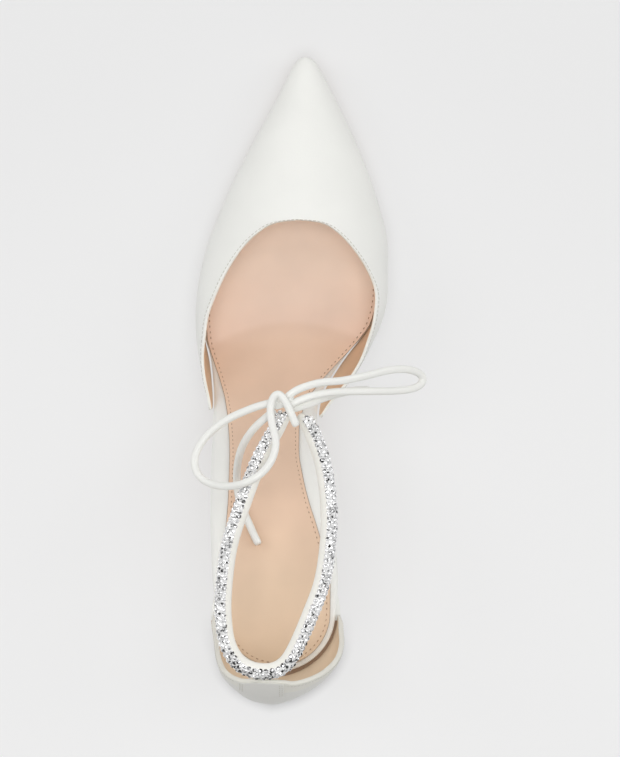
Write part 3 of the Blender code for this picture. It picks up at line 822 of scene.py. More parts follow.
def object_place(tree):
    return add_node(tree, "ShaderNodeTexCoord").outputs["Object"]


def mix_colours(tree, first, second, factor, blend="MIX"):
    """Mixes two colours, each a colour or a socket, by a number or a socket."""
    mixer = add_node(tree, "ShaderNodeMix", data_type="RGBA", blend_type=blend)
    wells = [mixer.inputs[0], *[socket for socket in mixer.inputs if socket.type == "RGBA"]]
    for well, value in zip(wells, (factor, first, second)):
        feed(tree, well, value)
    return next(socket for socket in mixer.outputs if socket.type == "RGBA")


def ramp_colours(tree, factor, stops, interpolation="LINEAR"):
    """The colour, between stops of a place and a colour, at a factor from 0 to 1."""
    made = add_node(tree, "ShaderNodeValToRGB", fac=factor)
    ramp = made.color_ramp
    ramp.interpolation = interpolation
    while len(ramp.elements) < len(stops):
        ramp.elements.new(0.5)
    for element, (place, colour) in zip(ramp.elements, stops):
        element.position = place
        element.color = (*colour, 1.0)
    return made.outputs["Color"]


def new_group(name, inputs, outputs):
    """An empty shader node group with named float sockets, and its two end nodes."""
    group = bpy.data.node_groups.new(name, "ShaderNodeTree")
    for socket, value in inputs.items():
        made = group.interface.new_socket(socket, in_out="INPUT", socket_type="NodeSocketFloat")
        made.default_value = value
    for socket in outputs:
        group.interface.new_socket(socket, in_out="OUTPUT", socket_type="NodeSocketFloat")
    return group, group.nodes.new("NodeGroupInput"), group.nodes.new("NodeGroupOutput")


def leather_grain_group():
    """Pores and fine creases of a smooth hide, and its slow change of tone."""
    group, given, made = new_group(
        "leather_grain",
        {"Pore Size": 0.0006, "Mottle Size": 0.02},
        ("Height", "Mottle", "Pores"),
    )
    place = object_place(group)
    pore_field, mottle_field = (
        add_node(
            group,
            "ShaderNodeVectorMath",
            operation="SCALE",
            vector=place,
            scale=reckon(group, "DIVIDE", 1.0, given.outputs[size]),
        ).outputs[0]
        for size in ("Pore Size", "Mottle Size")
    )
    pores = add_node(
        group,
        "ShaderNodeTexVoronoi",
        feature="SMOOTH_F1",
        vector=pore_field,
        scale=1.0,
        smoothness=0.4,
    ).outputs["Distance"]
    fine = add_node(
        group, "ShaderNodeTexNoise", vector=pore_field, scale=0.45, detail=3.0, roughness=0.6
    ).outputs["Fac"]
    mottle = add_node(
        group, "ShaderNodeTexNoise", vector=mottle_field, scale=1.0, detail=2.0, roughness=0.5
    ).outputs["Fac"]
    feed(group, made.inputs["Height"], reckon(group, "ADD", pores, fine))
    feed(group, made.inputs["Mottle"], mottle)
    feed(group, made.inputs["Pores"], pores)


def new_material(name, roughness, **constants):
    """A material whose shader holds its own constant values."""
    if name in bpy.data.materials:
        raise ValueError(f"the frame has a material named {name} already")
    made = bpy.data.materials.new(name)
    made.use_nodes = True
    shader = made.node_tree.nodes["Principled BSDF"]
    shader.inputs["Roughness"].default_value = roughness
    for socket, value in constants.items():
        shader.inputs[socket.replace("_", " ").title().replace("Ior", "IOR")].default_value = value
    return made, made.node_tree, shader


def leather(name, light, dark, roughness, pore=0.0006, mottle=0.02, relief=0.2, **constants):
    """Smooth leather between two tones, with its pores in roughness and relief."""
    made, tree, shader = new_material(name, sum(roughness) / 2, **constants)
    grain = add_node(
        tree,
        "ShaderNodeGroup",
        node_tree=bpy.data.node_groups["leather_grain"],
        pore_size=pore,
        mottle_size=mottle,
    ).outputs
    share = spread(tree, grain["Mottle"], from_min=0.35, from_max=0.65)
    feed(tree, shader.inputs["Base Color"], mix_colours(tree, dark, light, share))
    polish = spread(tree, grain["Pores"], to_min=roughness[0], to_max=roughness[1])
    feed(tree, shader.inputs["Roughness"], polish)
    bump = add_node(tree, "ShaderNodeBump", strength=relief, distance=PORE_DEPTH)
    feed(tree, bump.inputs["Height"], grain["Height"])
    feed(tree, shader.inputs["Normal"], bump.outputs["Normal"])
    return made


def tint_along(made, stops, bow=0.0):
    """Multiplies a leather's colour by tones set at places along the shoe, in metres, some of them the
    leather's own colour and some painted light and shade. Lines of equal tone bow back by bow times the
    square of the distance across."""
    tree = made.node_tree
    base = tree.nodes["Principled BSDF"].inputs["Base Color"]
    place = parts_of(tree, object_place(tree))
    square = reckon(tree, "MULTIPLY", place["X"], place["X"])
    bowed = reckon(tree, "MULTIPLY_ADD", square, bow, place["Y"])
    low, high = stops[0][0], stops[-1][0]
    shares = [((at - low) / (high - low), tone) for at, tone in stops]
    share = spread(tree, bowed, from_min=low, from_max=high)
    tint = ramp_colours(tree, share, shares, "EASE")
    feed(tree, base, mix_colours(tree, base.links[0].from_socket, tint, 1.0, "MULTIPLY"))


def stone_glass():
    """Foil-backed clear stones with painted reflections, bright facets with dark ones between them, and
    painted shade that makes more of them dark behind the heel."""
    _, tree, shader = new_material("clear_stone", 0.08, metallic=0.7, ior=1.6)
    place = object_place(tree)
    cells = add_node(tree, "ShaderNodeTexVoronoi", vector=place, scale=1 / FACET_SIZE)
    chance = parts_of(tree, cells.outputs["Color"])["X"]
    # Painted shade: more of the facets dark behind the heel
    back_shade = spread(
        tree,
        parts_of(tree, place)["Y"],
        from_min=BACK_SHADE_ENDS[0],
        from_max=BACK_SHADE_ENDS[1],
        to_max=BACK_PAINTED_SHADE,
    )
    facet = reckon(tree, "SUBTRACT", chance, back_shade, use_clamp=True)
    stops = [(share, (tone, tone, tone * 1.01)) for share, tone in FACET_REFLECTION_TONES]
    feed(tree, shader.inputs["Base Color"], ramp_colours(tree, facet, stops, "CONSTANT"))


def thread(name, colour):
    """Twisted sewing thread."""
    _, tree, shader = new_material(name, 0.75)
    twist = add_node(
        tree, "ShaderNodeTexNoise", vector=object_place(tree), scale=4000.0, detail=1.0
    )
    dark = [part * THREAD_SHADE for part in colour]
    feed(tree, shader.inputs["Base Color"], mix_colours(tree, dark, colour, twist.outputs["Fac"]))


def last_point(side, y, turn):
    """A point of the last's surface, on the lateral or medial side."""
    edge, ridge_x, ridge_z, widest = (
        read(LAST_ROWS, LAST_COLUMNS, name, y) for name in (side, "ridge_x", "ridge_z", "widest")
    )
    foot_z = board_bottom(y)
    if turn >= 0:
        angle = turn * math.pi / 2
        x = ridge_x + (edge - ridge_x) * math.cos(angle)
        return x, y, foot_z + widest + (ridge_z - foot_z - widest) * math.sin(angle)
    outward = 1 if side == "medial" else -1
    foot = read(BOARD_ROWS, BOARD_COLUMNS, side, y) + outward * VAMP_FOOT_OUTSET
    if y > TOE_FOOT_FROM:
        foot = edge + (ridge_x - edge) * TOE_FOOT_TUCK
    share = turn / FOOT_TURN
    return edge + (foot - edge) * share**1.4, y, foot_z + widest * (1 - share)


def vamp_row(side, foot_y, top_y, top_turn):
    """Points up the vamp from its foot to its top, which may lie at another y."""
    row = []
    for share in VAMP_SHARES:
        turn = FOOT_TURN + (top_turn - FOOT_TURN) * share
        row.append(last_point(side, foot_y + (top_y - foot_y) * share**1.5, turn))
    return row


def vamp_rows(side):
    """Rows from the toe to the throat, then fanned round to the tip of the wing."""
    rows = [vamp_row(side, y, y, 1.0) for y in VAMP_TOE_ROWS]
    tip = TOPLINE_ROWS[-1][TOPLINE_COLUMNS.index(f"y_{side}")]
    for along in np.linspace(0.0, 1.0, VAMP_FAN_ROWS):
        top_y, top_turn = (
            read(TOPLINE_ROWS, TOPLINE_COLUMNS, f"{name}_{side}", along) for name in ("y", "turn")
        )
        foot_y = VAMP_FAN_FROM + (tip - VAMP_FAN_FROM) * along
        rows.append(vamp_row(side, foot_y, top_y, top_turn))
    return rows


def seam_under_edge(rows, inset):
    """A line on the leather a distance inside the end of each row, with outward directions."""
    line, outs = [], []
    rows = [np.array(row) for row in rows]
    for i, row in enumerate(rows):
        down = row[::-1]
        along = rows[min(i + 1, len(rows) - 1)][-1] - rows[max(i - 1, 0)][-1]
        line.append(place_on(down, run_along(down), inset))
        outs.append(unit(np.cross(along, down[3] - down[0])))
    return line, outs


def counter_point(angle, share, outset=0.0):
    """A point of the counter at an angle round the seat, a share of the way up its wall."""
    foot, bulge, rim, rim_z, at = (
        read(COUNTER_ROWS, COUNTER_COLUMNS, name, angle) for name in COUNTER_COLUMNS[1:]
    )
    radius = (
        foot * (share - at) * (share - 1) / at
        + bulge * share * (share - 1) / (at * (at - 1))
        + rim * share * (share - at) / (1 - at)
        + outset
    )
    turn = math.radians(angle)
    x = SEAT_CENTRE[0] + radius * math.cos(turn)
    y = SEAT_CENTRE[1] - radius * math.sin(turn)
    low = board_bottom(SEAT_CENTRE[1] - SEAT_RADIUS * math.sin(turn)) + GAP
    return x, y, low + (rim_z - low) * share


def skive_at(angle):
    """How far the counter's outer side moves in where its front tips are thinned."""
    medial, lateral = SKIVE_RUNS
    first, last = COUNTER_ROWS[0][0], COUNTER_ROWS[-1][0]
    near = max(1 - (angle - first) / medial, 1 - (last - angle) / lateral, 0.0)
    return SKIVE * min(near, 1.0) ** 1.5


def tab_point(x, share):
    """A point of the counter's back at a place across the shoe."""
    near, far = TAB_ANGLES
    for _ in range(30):
        angle = (near + far) / 2
        if counter_point(angle, share, TAB_THICK)[0] > x:
            near = angle
        else:
            far = angle
    return counter_point(angle, share, TAB_THICK)


def board_ring(y):
    """Ring across the board: a flat top, edges that roll down, and a narrower underside."""
    lateral, medial = edges(BOARD_ROWS, BOARD_COLUMNS, SEAT_RADIUS, y)
    drop, tuck = (read(BOARD_ROWS, BOARD_COLUMNS, name, y) for name in ("drop", "tuck"))
    top, bottom = board_top(y), board_bottom(y)
    least, per_drop, most = BOARD_ROLL
    roll = min(least + per_drop * drop, most * (medial - lateral))
    halves = []
    for side, edge in ((1, medial), (-1, lateral)):
        half = []
        for turn in np.radians((0, 22, 45, 68, 90)):
            inward = roll * (1 - math.sin(turn))
            half.append((edge - side * inward, y, top - drop * (1 - math.cos(turn))))
        half.append((edge - side * tuck * 0.3, y, (top - drop + bottom) / 2))
        half.append((edge - side * tuck, y, bottom))
        halves.append(half)
    return halves[0] + halves[1][::-1]


def heel_ring(down, count=48):
    """Ring round the heel, its points in pairs at the same y from the back to the front."""
    front, back, half, square = (
        read(HEEL_ROWS, HEEL_COLUMNS, name, down) for name in HEEL_COLUMNS[1:]
    )
    seat_front, seat_back = HEEL_ROWS[0][1:3]
    ring = []
    for i in range(count):
        turn = 2 * math.pi * i / count
        run = math.cos(turn)
        wide = math.copysign(abs(math.sin(turn)) ** (square if run < 0 else 1.0), math.sin(turn))
        y = (front + back) / 2 - (front - back) / 2 * run
        seat_y = (seat_front + seat_back) / 2 - (seat_front - seat_back) / 2 * run
        top = board_bottom(seat_y) - GAP
        ring.append((HEEL_X + half * wide, y, top + (LIFT_THICK + GAP - top) * down))
    return ring


def sock_top(y):
    return board_top(y) + GAP + SOCK_THICK


def sock_ring(y):
    """Ring across the sock: rounded edges, and a surface that dips towards its middle."""
    lateral, medial = edges(SOCK_ROWS, SOCK_COLUMNS, SOCK_SEAT_RADIUS, y)
    top, low = sock_top(y), board_top(y) + GAP
    middle, half = (lateral + medial) / 2, (medial - lateral) / 2
    roll = min(SOCK_ROLL, half / 4)
    mid = ROUND_MID * roll
    ring = [(medial, y, low), (medial, y, top - roll), (medial - mid, y, top - mid)]
    for share in SOCK_SHARES:
        dip = SOCK_DIP * (1 - share**2) ** 2 * min(half / 12, 1.0)
        ring.append((middle + (half - roll) * share, y, top - dip))
    ring += [(lateral + mid, y, top - mid), (lateral, y, top - roll), (lateral, y, low)]
    return ring


def sock_seam(side, inset):
    """The sock's stitch line inside its lateral (-1) or medial (1) edge, round the seat."""
    name = "medial" if side > 0 else "lateral"
    line = []
    for y in np.arange(SOCK_SEAM_FROM, SEAT_CENTRE[1], -2.0):
        edge = read(SOCK_ROWS, SOCK_COLUMNS, name, y)
        line.append((edge - side * inset, y, sock_top(y)))
    radius = SOCK_SEAT_RADIUS - inset
    for turn in np.radians(np.linspace(0, 90, 24)):
        y = SEAT_CENTRE[1] - radius * math.sin(turn)
        line.append((SEAT_CENTRE[0] + side * radius * math.cos(turn), y, sock_top(y)))
    return line, [(0.0, 0.0, 1.0)] * len(line)


def outsole_ring(y):
    """Ring across the outsole, its edge trimmed square and its lower corner rounded."""
    lateral, medial = edges(BOARD_ROWS, BOARD_COLUMNS, SEAT_RADIUS, y)
    under = smooth(*OUTSOLE_OUTSET, y)
    top = board_bottom(y) - GAP
    low = top - OUTSOLE_THICK
    mid = ROUND_MID * OUTSOLE_ROLL
    ring = []
    for side, edge in ((1, medial + under), (-1, lateral - under)):
        half = [(edge - side * OUTSOLE_TRIM, y, top), (edge, y, top - OUTSOLE_TRIM)]
        half += [(edge, y, low + OUTSOLE_ROLL), (edge - side * mid, y, low + mid)]
        half.append((edge - side * OUTSOLE_ROLL, y, low))
        ring += half if side > 0 else half[::-1]
    return ring


def across(along):
    """The directions straight out and up from a strap that runs along a direction."""
    out = unit(np.cross(along, (0.0, 0.0, 1.0)))
    return out, np.cross(out, along)


def lay_paved_skin(work, line, radius):
    """The closed skin under the stones, an arc swept along the strap."""
    near, far = radius + BAND_SKIN, radius + GAP
    turns = np.radians(np.linspace(*BAND_ARC, 18))
    rings = []
    for before, place, after in zip(line, line[1:], line[2:]):
        out, up = across(unit(after - before))
        arc = [out * math.cos(turn) + up * math.sin(turn) for turn in turns]
        rings.append([place + near * arm for arm in arc] + [place + far * arm for arm in arc[::-1]])
    lay_skin(work, rings)


def lay_stone(work, middle, along, out, radius):
    """One round stone, cut with a flat table and two rings of facets."""
    side = unit(np.cross(along, out))
    along = np.cross(out, side)
    rings = []
    for height, reach, turned in STONE_CUT:
        ring = []
        for k in range(8):
            turn = (k + turned) * math.pi / 4
            arm = along * math.cos(turn) + side * math.sin(turn)
            ring.append(work.verts.new(middle + arm * reach * radius + out * height * radius))
        rings.append(ring)
    faces = [work.faces.new(rings[0][::-1]), work.faces.new(rings[-1])]
    for near, far, (_, _, turned) in zip(rings, rings[1:], STONE_CUT[1:]):
        for i in range(8):
            j = (i + 1) % 8
            if turned:
                corners = ((near[i], near[j], far[i]), (far[i], near[j], far[j]))
            else:
                corners = ((near[i], far[j], far[i]), (near[i], near[j], far[j]))
            faces += [work.faces.new(corner) for corner in corners]
    bmesh.ops.recalc_face_normals(work, faces=faces)
    for face in faces:
        face.material_index = 1


class UpperSettings(PropertyGroup):
    """Sizes and colours of the vamp and the heel counter."""

    vamp_wall: FloatProperty(
        name="Vamp wall", description="Leather and lining of the vamp", default=0.0012, unit="LENGTH"
    )
    counter_wall: FloatProperty(
        name="Counter wall", description="Leather, stiffener and lining", default=0.0018, unit="LENGTH"
    )
    stitch_inset: FloatProperty(
        name="Stitch inset", description="Topline edge to stitch line", default=0.0017, unit="LENGTH"
    )
    stitch_pitch: FloatProperty(
        name="Stitch pitch", description="From stitch to stitch", default=0.00165, unit="LENGTH"
    )
    leather: FloatVectorProperty(
        name="Leather", description="White upper leather", default=(0.86, 0.86, 0.825), subtype="COLOR"
    )
    lining: FloatVectorProperty(
        name="Lining", description="Tan lining leather", default=(0.82, 0.66, 0.49), subtype="COLOR"
    )


class SoleSettings(PropertyGroup):
    """Sizes and colours of the sock and the outsole."""

    sock: FloatVectorProperty(
        name="Sock", description="Beige sock leather", default=(1.0, 0.83, 0.70), subtype="COLOR"
    )
    outsole: FloatVectorProperty(
        name="Outsole", description="Tan sole leather", default=(0.62, 0.45, 0.32), subtype="COLOR"
    )
    stitch_pitch: FloatProperty(
        name="Sock stitch pitch", description="From stitch to stitch", default=0.00215, unit="LENGTH"
    )
    stitch_inset: FloatProperty(
        name="Sock stitch inset", description="Sock edge to stitch line", default=0.00135, unit="LENGTH"
    )


class StrapSettings(PropertyGroup):
    """Sizes of the rolled strap and its stones."""

    radius: FloatProperty(
        name="Strap radius", description="Rolled strap", default=0.0028, unit="LENGTH"
    )
    stone: FloatProperty(
        name="Stone size", description="Width of one stone", default=0.0019, unit="LENGTH"
    )
    pitch: FloatProperty(
        name="Stone pitch", description="From stone to stone along a row", default=0.0021, unit="LENGTH"
    )
    rows: IntProperty(name="Stone rows", description="Rows round the strap", default=6, min=1)


class LaceSettings(PropertyGroup):
    """Size of the lace."""

    diameter: FloatProperty(
        name="Lace diameter", description="Round leather lace", default=0.0029, unit="LENGTH"
    )


class StageSettings(PropertyGroup):
    """Camera, floor and lights."""

    camera_height: FloatProperty(
        name="Camera height", description="Above the floor", default=10.0, unit="LENGTH"
    )
    view_height: FloatProperty(
        name="View height", description="Floor seen from top to bottom", default=0.287, unit="LENGTH"
    )
    floor: FloatVectorProperty(
        name="Floor", description="Plain pale floor", default=(0.34, 0.34, 0.34), subtype="COLOR"
    )
    floor_glow: FloatProperty(
        name="Floor glow", description="Light that the floor gives off, as a light table does", default=0.51
    )
    softbox_power: FloatProperty(
        name="Softbox power", description="Overhead softbox", default=17.4, unit="POWER"
    )
    ambient: FloatProperty(name="Ambient", description="Strength of the studio's fill", default=0.60)


class PumpSettings(PropertyGroup):
    """Everything that can be set on the pump."""

    upper: PointerProperty(type=UpperSettings)
    sole: PointerProperty(type=SoleSettings)
    strap: PointerProperty(type=StrapSettings)
    lace: PointerProperty(type=LaceSettings)
    stage: PointerProperty(type=StageSettings)


def tones(colour, share):
    """A light and a dark tone, a share of it either side of a colour."""
    return [part * (1 + share) for part in colour], [part * (1 - share) for part in colour]


class PUMP_OT_materials(Operator):
    """Leathers, thread, rubber and stone"""

    bl_idname = "pump.materials"
    bl_label = "Materials"

    def execute(self, context):
        pump = context.scene.pump
        leather_grain_group()
        self.white_leathers(pump.upper)
        self.tan_leathers(pump)
        leather("lift_rubber", *tones(LIFT_COLOUR, 0.04), (0.6, 0.75), pore=0.0004, relief=0.3)
        thread("upper_thread", UPPER_THREAD)
        thread("sock_thread", SOCK_THREAD)
        stone_glass()
        leather("stone_mesh", *tones(MESH_COLOUR, 0.1), (0.35, 0.5), pore=0.0005, relief=0.6)
        return {"FINISHED"}

    def white_leathers(self, upper):
        """Hide of the upper, its folded edges, the counter's one a darker copy as painted shade, the
        strap's and the laces'.
        """
        even = 0.012
        white = tones(upper.leather, even)
        # The white leather takes painted shade behind the heel.
        tint_along(leather("white_hide", *white, (0.40, 0.50), specular_ior_level=0.4), HIDE_PAINTED_SHADE)
        leather("fold_leather", *tones(FOLD_COLOUR, even), (0.42, 0.52))
        # A darker copy of the fold leather: painted shade for the counter's folded edge.
        leather("counter_fold_shaded", *tones(COUNTER_FOLD_SHADE_COLOUR, even), (0.42, 0.52))
        leather("strap_leather", *tones(STRAP_COLOUR, even), (0.40, 0.50))
        leather("lace_leather", *tones(LACE_COLOUR, even), (0.38, 0.48), pore=0.0005)

    def tan_leathers(self, pump):
        """Lining, sock with painted light and shade along it, and its cut edge, a painted shade for the
        heel's top in the gap inside the counter, and the outsole.
        """
        lining = tones(pump.upper.lining, 0.05)
        tint_along(leather("lining_leather", *lining, (0.55, 0.68), pore=0.0008), LINING_TINTS)
        sock = tones(pump.sole.sock, 0.03)
        # The sock's tones along it hold its own colour, painted shade behind the ball's crease and painted
        # light towards the throat and under the bow.
        tint_along(leather("sock_hide", *sock, (0.50, 0.62), pore=0.0007), SOCK_TONES_AND_PAINTED_LIGHT, SOCK_BOW)
        leather("sock_edge", *tones(SOCK_EDGE_COLOUR, 0.05), (0.6, 0.7))
        # Painted shade for the gap inside the counter, laid on the heel's top.
        leather("heel_gap_shade", *tones(HEEL_GAP_SHADE_COLOUR, 0.05), (0.6, 0.7))
        tan = tones(pump.sole.outsole, 0.06)
        leather("sole_hide", *tan, (0.38, 0.6), mottle=0.012, relief=0.4)


class PUMP_OT_vamp(Operator):
    """Pointed vamp with its lining, folded topline and topstitching"""

    bl_idname = "pump.vamp"
    bl_label = "Vamp"

    def execute(self, context):
        upper = context.scene.pump.upper
        shades = ("white_hide", "lining_leather", "fold_leather")
        lateral, medial = vamp_rows("lateral"), vamp_rows("medial")
        grids = [[row[::-1] for row in lateral], medial]
        add_shell("vamp_upper", grids, upper.vamp_wall, shades, "vamp")
        ahead, inset = len(VAMP_TOE_ROWS), upper.stitch_inset / MM
        line, outs = (part[::-1] for part in seam_under_edge(lateral[ahead:], inset))
        onward, ways = seam_under_edge(medial[ahead:], inset)
        seam = (line + onward[1:], outs + [-way for way in ways[1:]])
        pitch = upper.stitch_pitch / MM
        add_stitching("vamp_topstitch", [seam], pitch, TOPSTITCH, "upper_thread")
        return {"FINISHED"}


class PUMP_OT_counter(Operator):
    """Heel counter with its lining, topline stitching and the tab that holds the strap"""

    bl_idname = "pump.counter"
    bl_label = "Heel counter"

    def execute(self, context):
        upper = context.scene.pump.upper
        pitch = upper.stitch_pitch / MM
        rows = [
            [counter_point(angle, share, -skive_at(angle)) for share in COUNTER_SHARES]
            for angle in np.linspace(COUNTER_ROWS[0][0], COUNTER_ROWS[-1][0], COUNTER_STATIONS)
        ]
        self.add_wall(rows, upper.counter_wall)
        line, ways = seam_under_edge(rows, upper.stitch_inset / MM)
        seam = [(place, -way) for place, way in zip(line, ways)]
        right = [stop for stop in seam if stop[0][0] > TAB_RIGHT_X + TAB_MARGIN]
        left = [stop for stop in seam if stop[0][0] < TAB_LEFT_X - TAB_MARGIN]
        seams = [list(zip(*side)) for side in (right, left)]
        add_stitching(
            "counter_topstitch", seams, pitch, TOPSTITCH, "upper_thread"
        )
        self.add_tab(pitch)
        return {"FINISHED"}

    def add_wall(self, rows, thickness):
        """The counter's shell, thinned where its front tips are skived."""
        shades = ("white_hide", "lining_leather", "counter_fold_shaded")
        shell = add_shell(
            "counter_upper",
            [rows],
            thickness,
            shades,
            "heel_counter",
            fold=COUNTER_FOLD_ROWS,
        )
        skived = shell.vertex_groups.new(name="skived")
        for vert in shell.data.vertices:
            x, y = vert.co.x / MM - SEAT_CENTRE[0], vert.co.y / MM - SEAT_CENTRE[1]
            angle = math.degrees(math.atan2(-y, x))
            skived.add([vert.index], 1 - skive_at(angle) * MM / thickness, "REPLACE")
        shell.modifiers["wall"].vertex_group = skived.name

    def add_tab(self, pitch):
        """The tab on the counter's back, with two rows of stitches at either side."""
        tab = [
            [tab_point(x, share) for share in np.linspace(*TAB_SHARES, 8)]
            for x in np.linspace(TAB_RIGHT_X, TAB_LEFT_X, 10)
        ]
        shades = ["white_hide"] * 3
        add_shell("strap_tab", [tab], TAB_THICK * MM, shades, None)
        seams = []
        for x in TAB_SEAMS:
            line = np.array([tab_point(x, share) for share in np.linspace(*TAB_SEAM_SHARES, 8)])
            out = line[0] - (*SEAT_CENTRE, line[0][2] - TAB_SEAM_TILT)
            seams.append((line, [out] * len(line)))
        add_stitching("tab_stitching", seams, pitch, TOPSTITCH, "upper_thread")


class PUMP_OT_sole(Operator):
    """Outsole, wrapped insole board and sock with its stitching"""

    bl_idname = "pump.sole"
    bl_label = "Sole"

    def execute(self, context):
        sole = context.scene.pump.sole
        stations = list(np.arange(SOLE_STATIONS_FROM, SEAT_CENTRE[1], -SOLE_STATION_STEP))
        toe = BOARD_ROWS[0][0]
        seat = seat_stations(SEAT_RADIUS, BOARD_SEAT_STATIONS)
        rings = [board_ring(y) for y in (toe, *stations, *seat)]
        add_loft("insole_wrap", rings, ["white_hide"], "insole_board")
        self.add_sock((*stations, *seat_stations(SOCK_SEAT_RADIUS, SOCK_SEAT_STATIONS)))
        ahead = [y for y in stations if y > OUTSOLE_BREAST]
        rings = [outsole_ring(y) for y in (OUTSOLE_TOE, toe, *ahead, OUTSOLE_BREAST)]
        add_loft("outsole_leather", rings, ["sole_hide"], "outsole")
        seams = [sock_seam(side, sole.stitch_inset / MM) for side in (-1, 1)]
        pitch = sole.stitch_pitch / MM
        add_stitching("sock_stitching", seams, pitch, SOCK_STITCH, "sock_thread")
        return {"FINISHED"}

    def add_sock(self, stations):
        """The sock, with the darker tone of cut leather round its edge."""
        rings = [sock_ring(y) for y in stations]
        shades = ("sock_hide", "sock_edge")
        sock = add_loft("sock_lining", rings, shades, "sock")
        count = len(rings[0])
        for face in sock.data.polygons:
            corners = [corner % count for corner in face.vertices]
            face.material_index = int(min(corners) <= 1 or max(corners) >= count - 2)


class PUMP_OT_heel(Operator):
    """Covered heel and its top lift"""

    bl_idname = "pump.heel"
    bl_label = "Heel"

    def execute(self, context):
        rings = [heel_ring(down) for down in (*HEEL_FLARE_DOWNS, *HEEL_STEM_DOWNS)]
        shades = ("white_hide", "heel_gap_shade")
        heel = add_loft("heel_cover", rings, shades, "heel", ladder=True)
        # The heel's top behind the counter takes the painted shade of the gap.
        for face in heel.data.polygons:
            under_counter = face.center.y < HEEL_GAP_SHADE_FROM * MM
            face.material_index = int(under_counter and max(face.vertices) < len(rings[0]))
        foot = np.array(heel_ring(1.0))
        centre = np.mean(foot, axis=0)
        rings = []
        for z, share in LIFT_RINGS:
            rings.append([(x, y, z) for x, y, _ in centre + (foot - centre) * share])
        add_loft("lift_wear_piece", rings, ["lift_rubber"], "top_lift")
        return {"FINISHED"}


class PUMP_OT_strap(Operator):
    """Rolled ankle strap and the stones set over its outer side"""

    bl_idname = "pump.strap"
    bl_label = "Ankle strap"

    def execute(self, context):
        strap = context.scene.pump.strap
        radius = strap.radius / MM
        line = laid_line(STRAP_ROUTE, *STRAP_LINE)
        last = len(line) - 1
        near = [min(i, last - i, STRAP_TIP_RUN) / STRAP_TIP_RUN for i in range(last + 1)]
        shares = [STRAP_TIP + (1 - STRAP_TIP) * math.sin(part * math.pi / 2) for part in near]
        work = bmesh.new()
        lay_tube(work, line, radius, STRAP_SEAM, level=True, shares=shares)
        new_piece("rolled_strap", work, ["strap_leather"], "ankle_strap")
        work = bmesh.new()
        lay_paved_skin(work, line[2:-2], radius)
        self.lay_stones(work, line, strap)
        shades = ("stone_mesh", "clear_stone")
        new_piece("paved_band", work, shades, "crystal_band", flat=True)
        return {"FINISHED"}

    def lay_stones(self, work, line, strap):
        """Rows of stones round the strap's outer side, each a little out of place."""
        run = run_along(line)
        count = round(run[-1] / (strap.pitch / MM))
        chance = random.Random(STONE_SEED)
        for row in range(strap.rows):
            turn = BAND_ARC[1] - BAND_ROW_INSET - row * BAND_ROW_STEP
            for step in range(1, count - 1):
                shift = 0.5 * (row % 2) + chance.uniform(-0.5, 0.5) * STONE_SPREAD
                at = (step + shift) * run[-1] / count
                behind, place, ahead = place_on(line, run, (at - STONE_AIM, at, at + STONE_AIM))
                if turn < LOW_ROW and place[1] < TAB_CLEAR_Y:
                    continue
                along = unit(ahead - behind)
                out, up = across(along)
                arm = out * math.cos(math.radians(turn)) + up * math.sin(math.radians(turn))
                lean, tip = (
                    math.tan(math.radians(chance.uniform(-1, 1) * STONE_LEAN)) for _ in range(2)
                )
                table = unit(arm + along * lean + np.cross(along, arm) * tip)
                size = strap.stone / MM / 2 * (1 + chance.uniform(-1, 1) * STONE_SPREAD)
                centre = place + arm * (strap.radius / MM + GAP)
                lay_stone(work, centre, along, table, size)


class PUMP_OT_laces(Operator):
    """Leather laces tied in a bow"""

    bl_idname = "pump.laces"
    bl_label = "Lace bow"

    def execute(self, context):
        width = context.scene.pump.lace.diameter
        for name, stops, far_end in (
            ("lace_loop_left", LOOP_LEFT_ROUTE, "object"),
            ("lace_loop_right", LOOP_RIGHT_ROUTE, "object"),
            ("lace_end_left", END_LEFT_ROUTE, "bare"),
            ("lace_end_right", END_RIGHT_ROUTE, "bare"),
        ):
            line = laid_line(stops, *LACE_LINE)
            work = bmesh.new()
            lay_tube(work, line, width / 2 / MM, LACE_SEAM)
            piece = new_piece(f"{name}_cord", work, ["lace_leather"], name)
        work = bmesh.new()
        for stops in KNOT_ROUTES:
            line = laid_line(stops, *KNOT_LINE)
            lay_tube(work, line, width / 2 / MM * KNOT_SHARE, LACE_SEAM)
        new_piece("bow_knot", work, ["lace_leather"], "lace_knot")
        return {"FINISHED"}


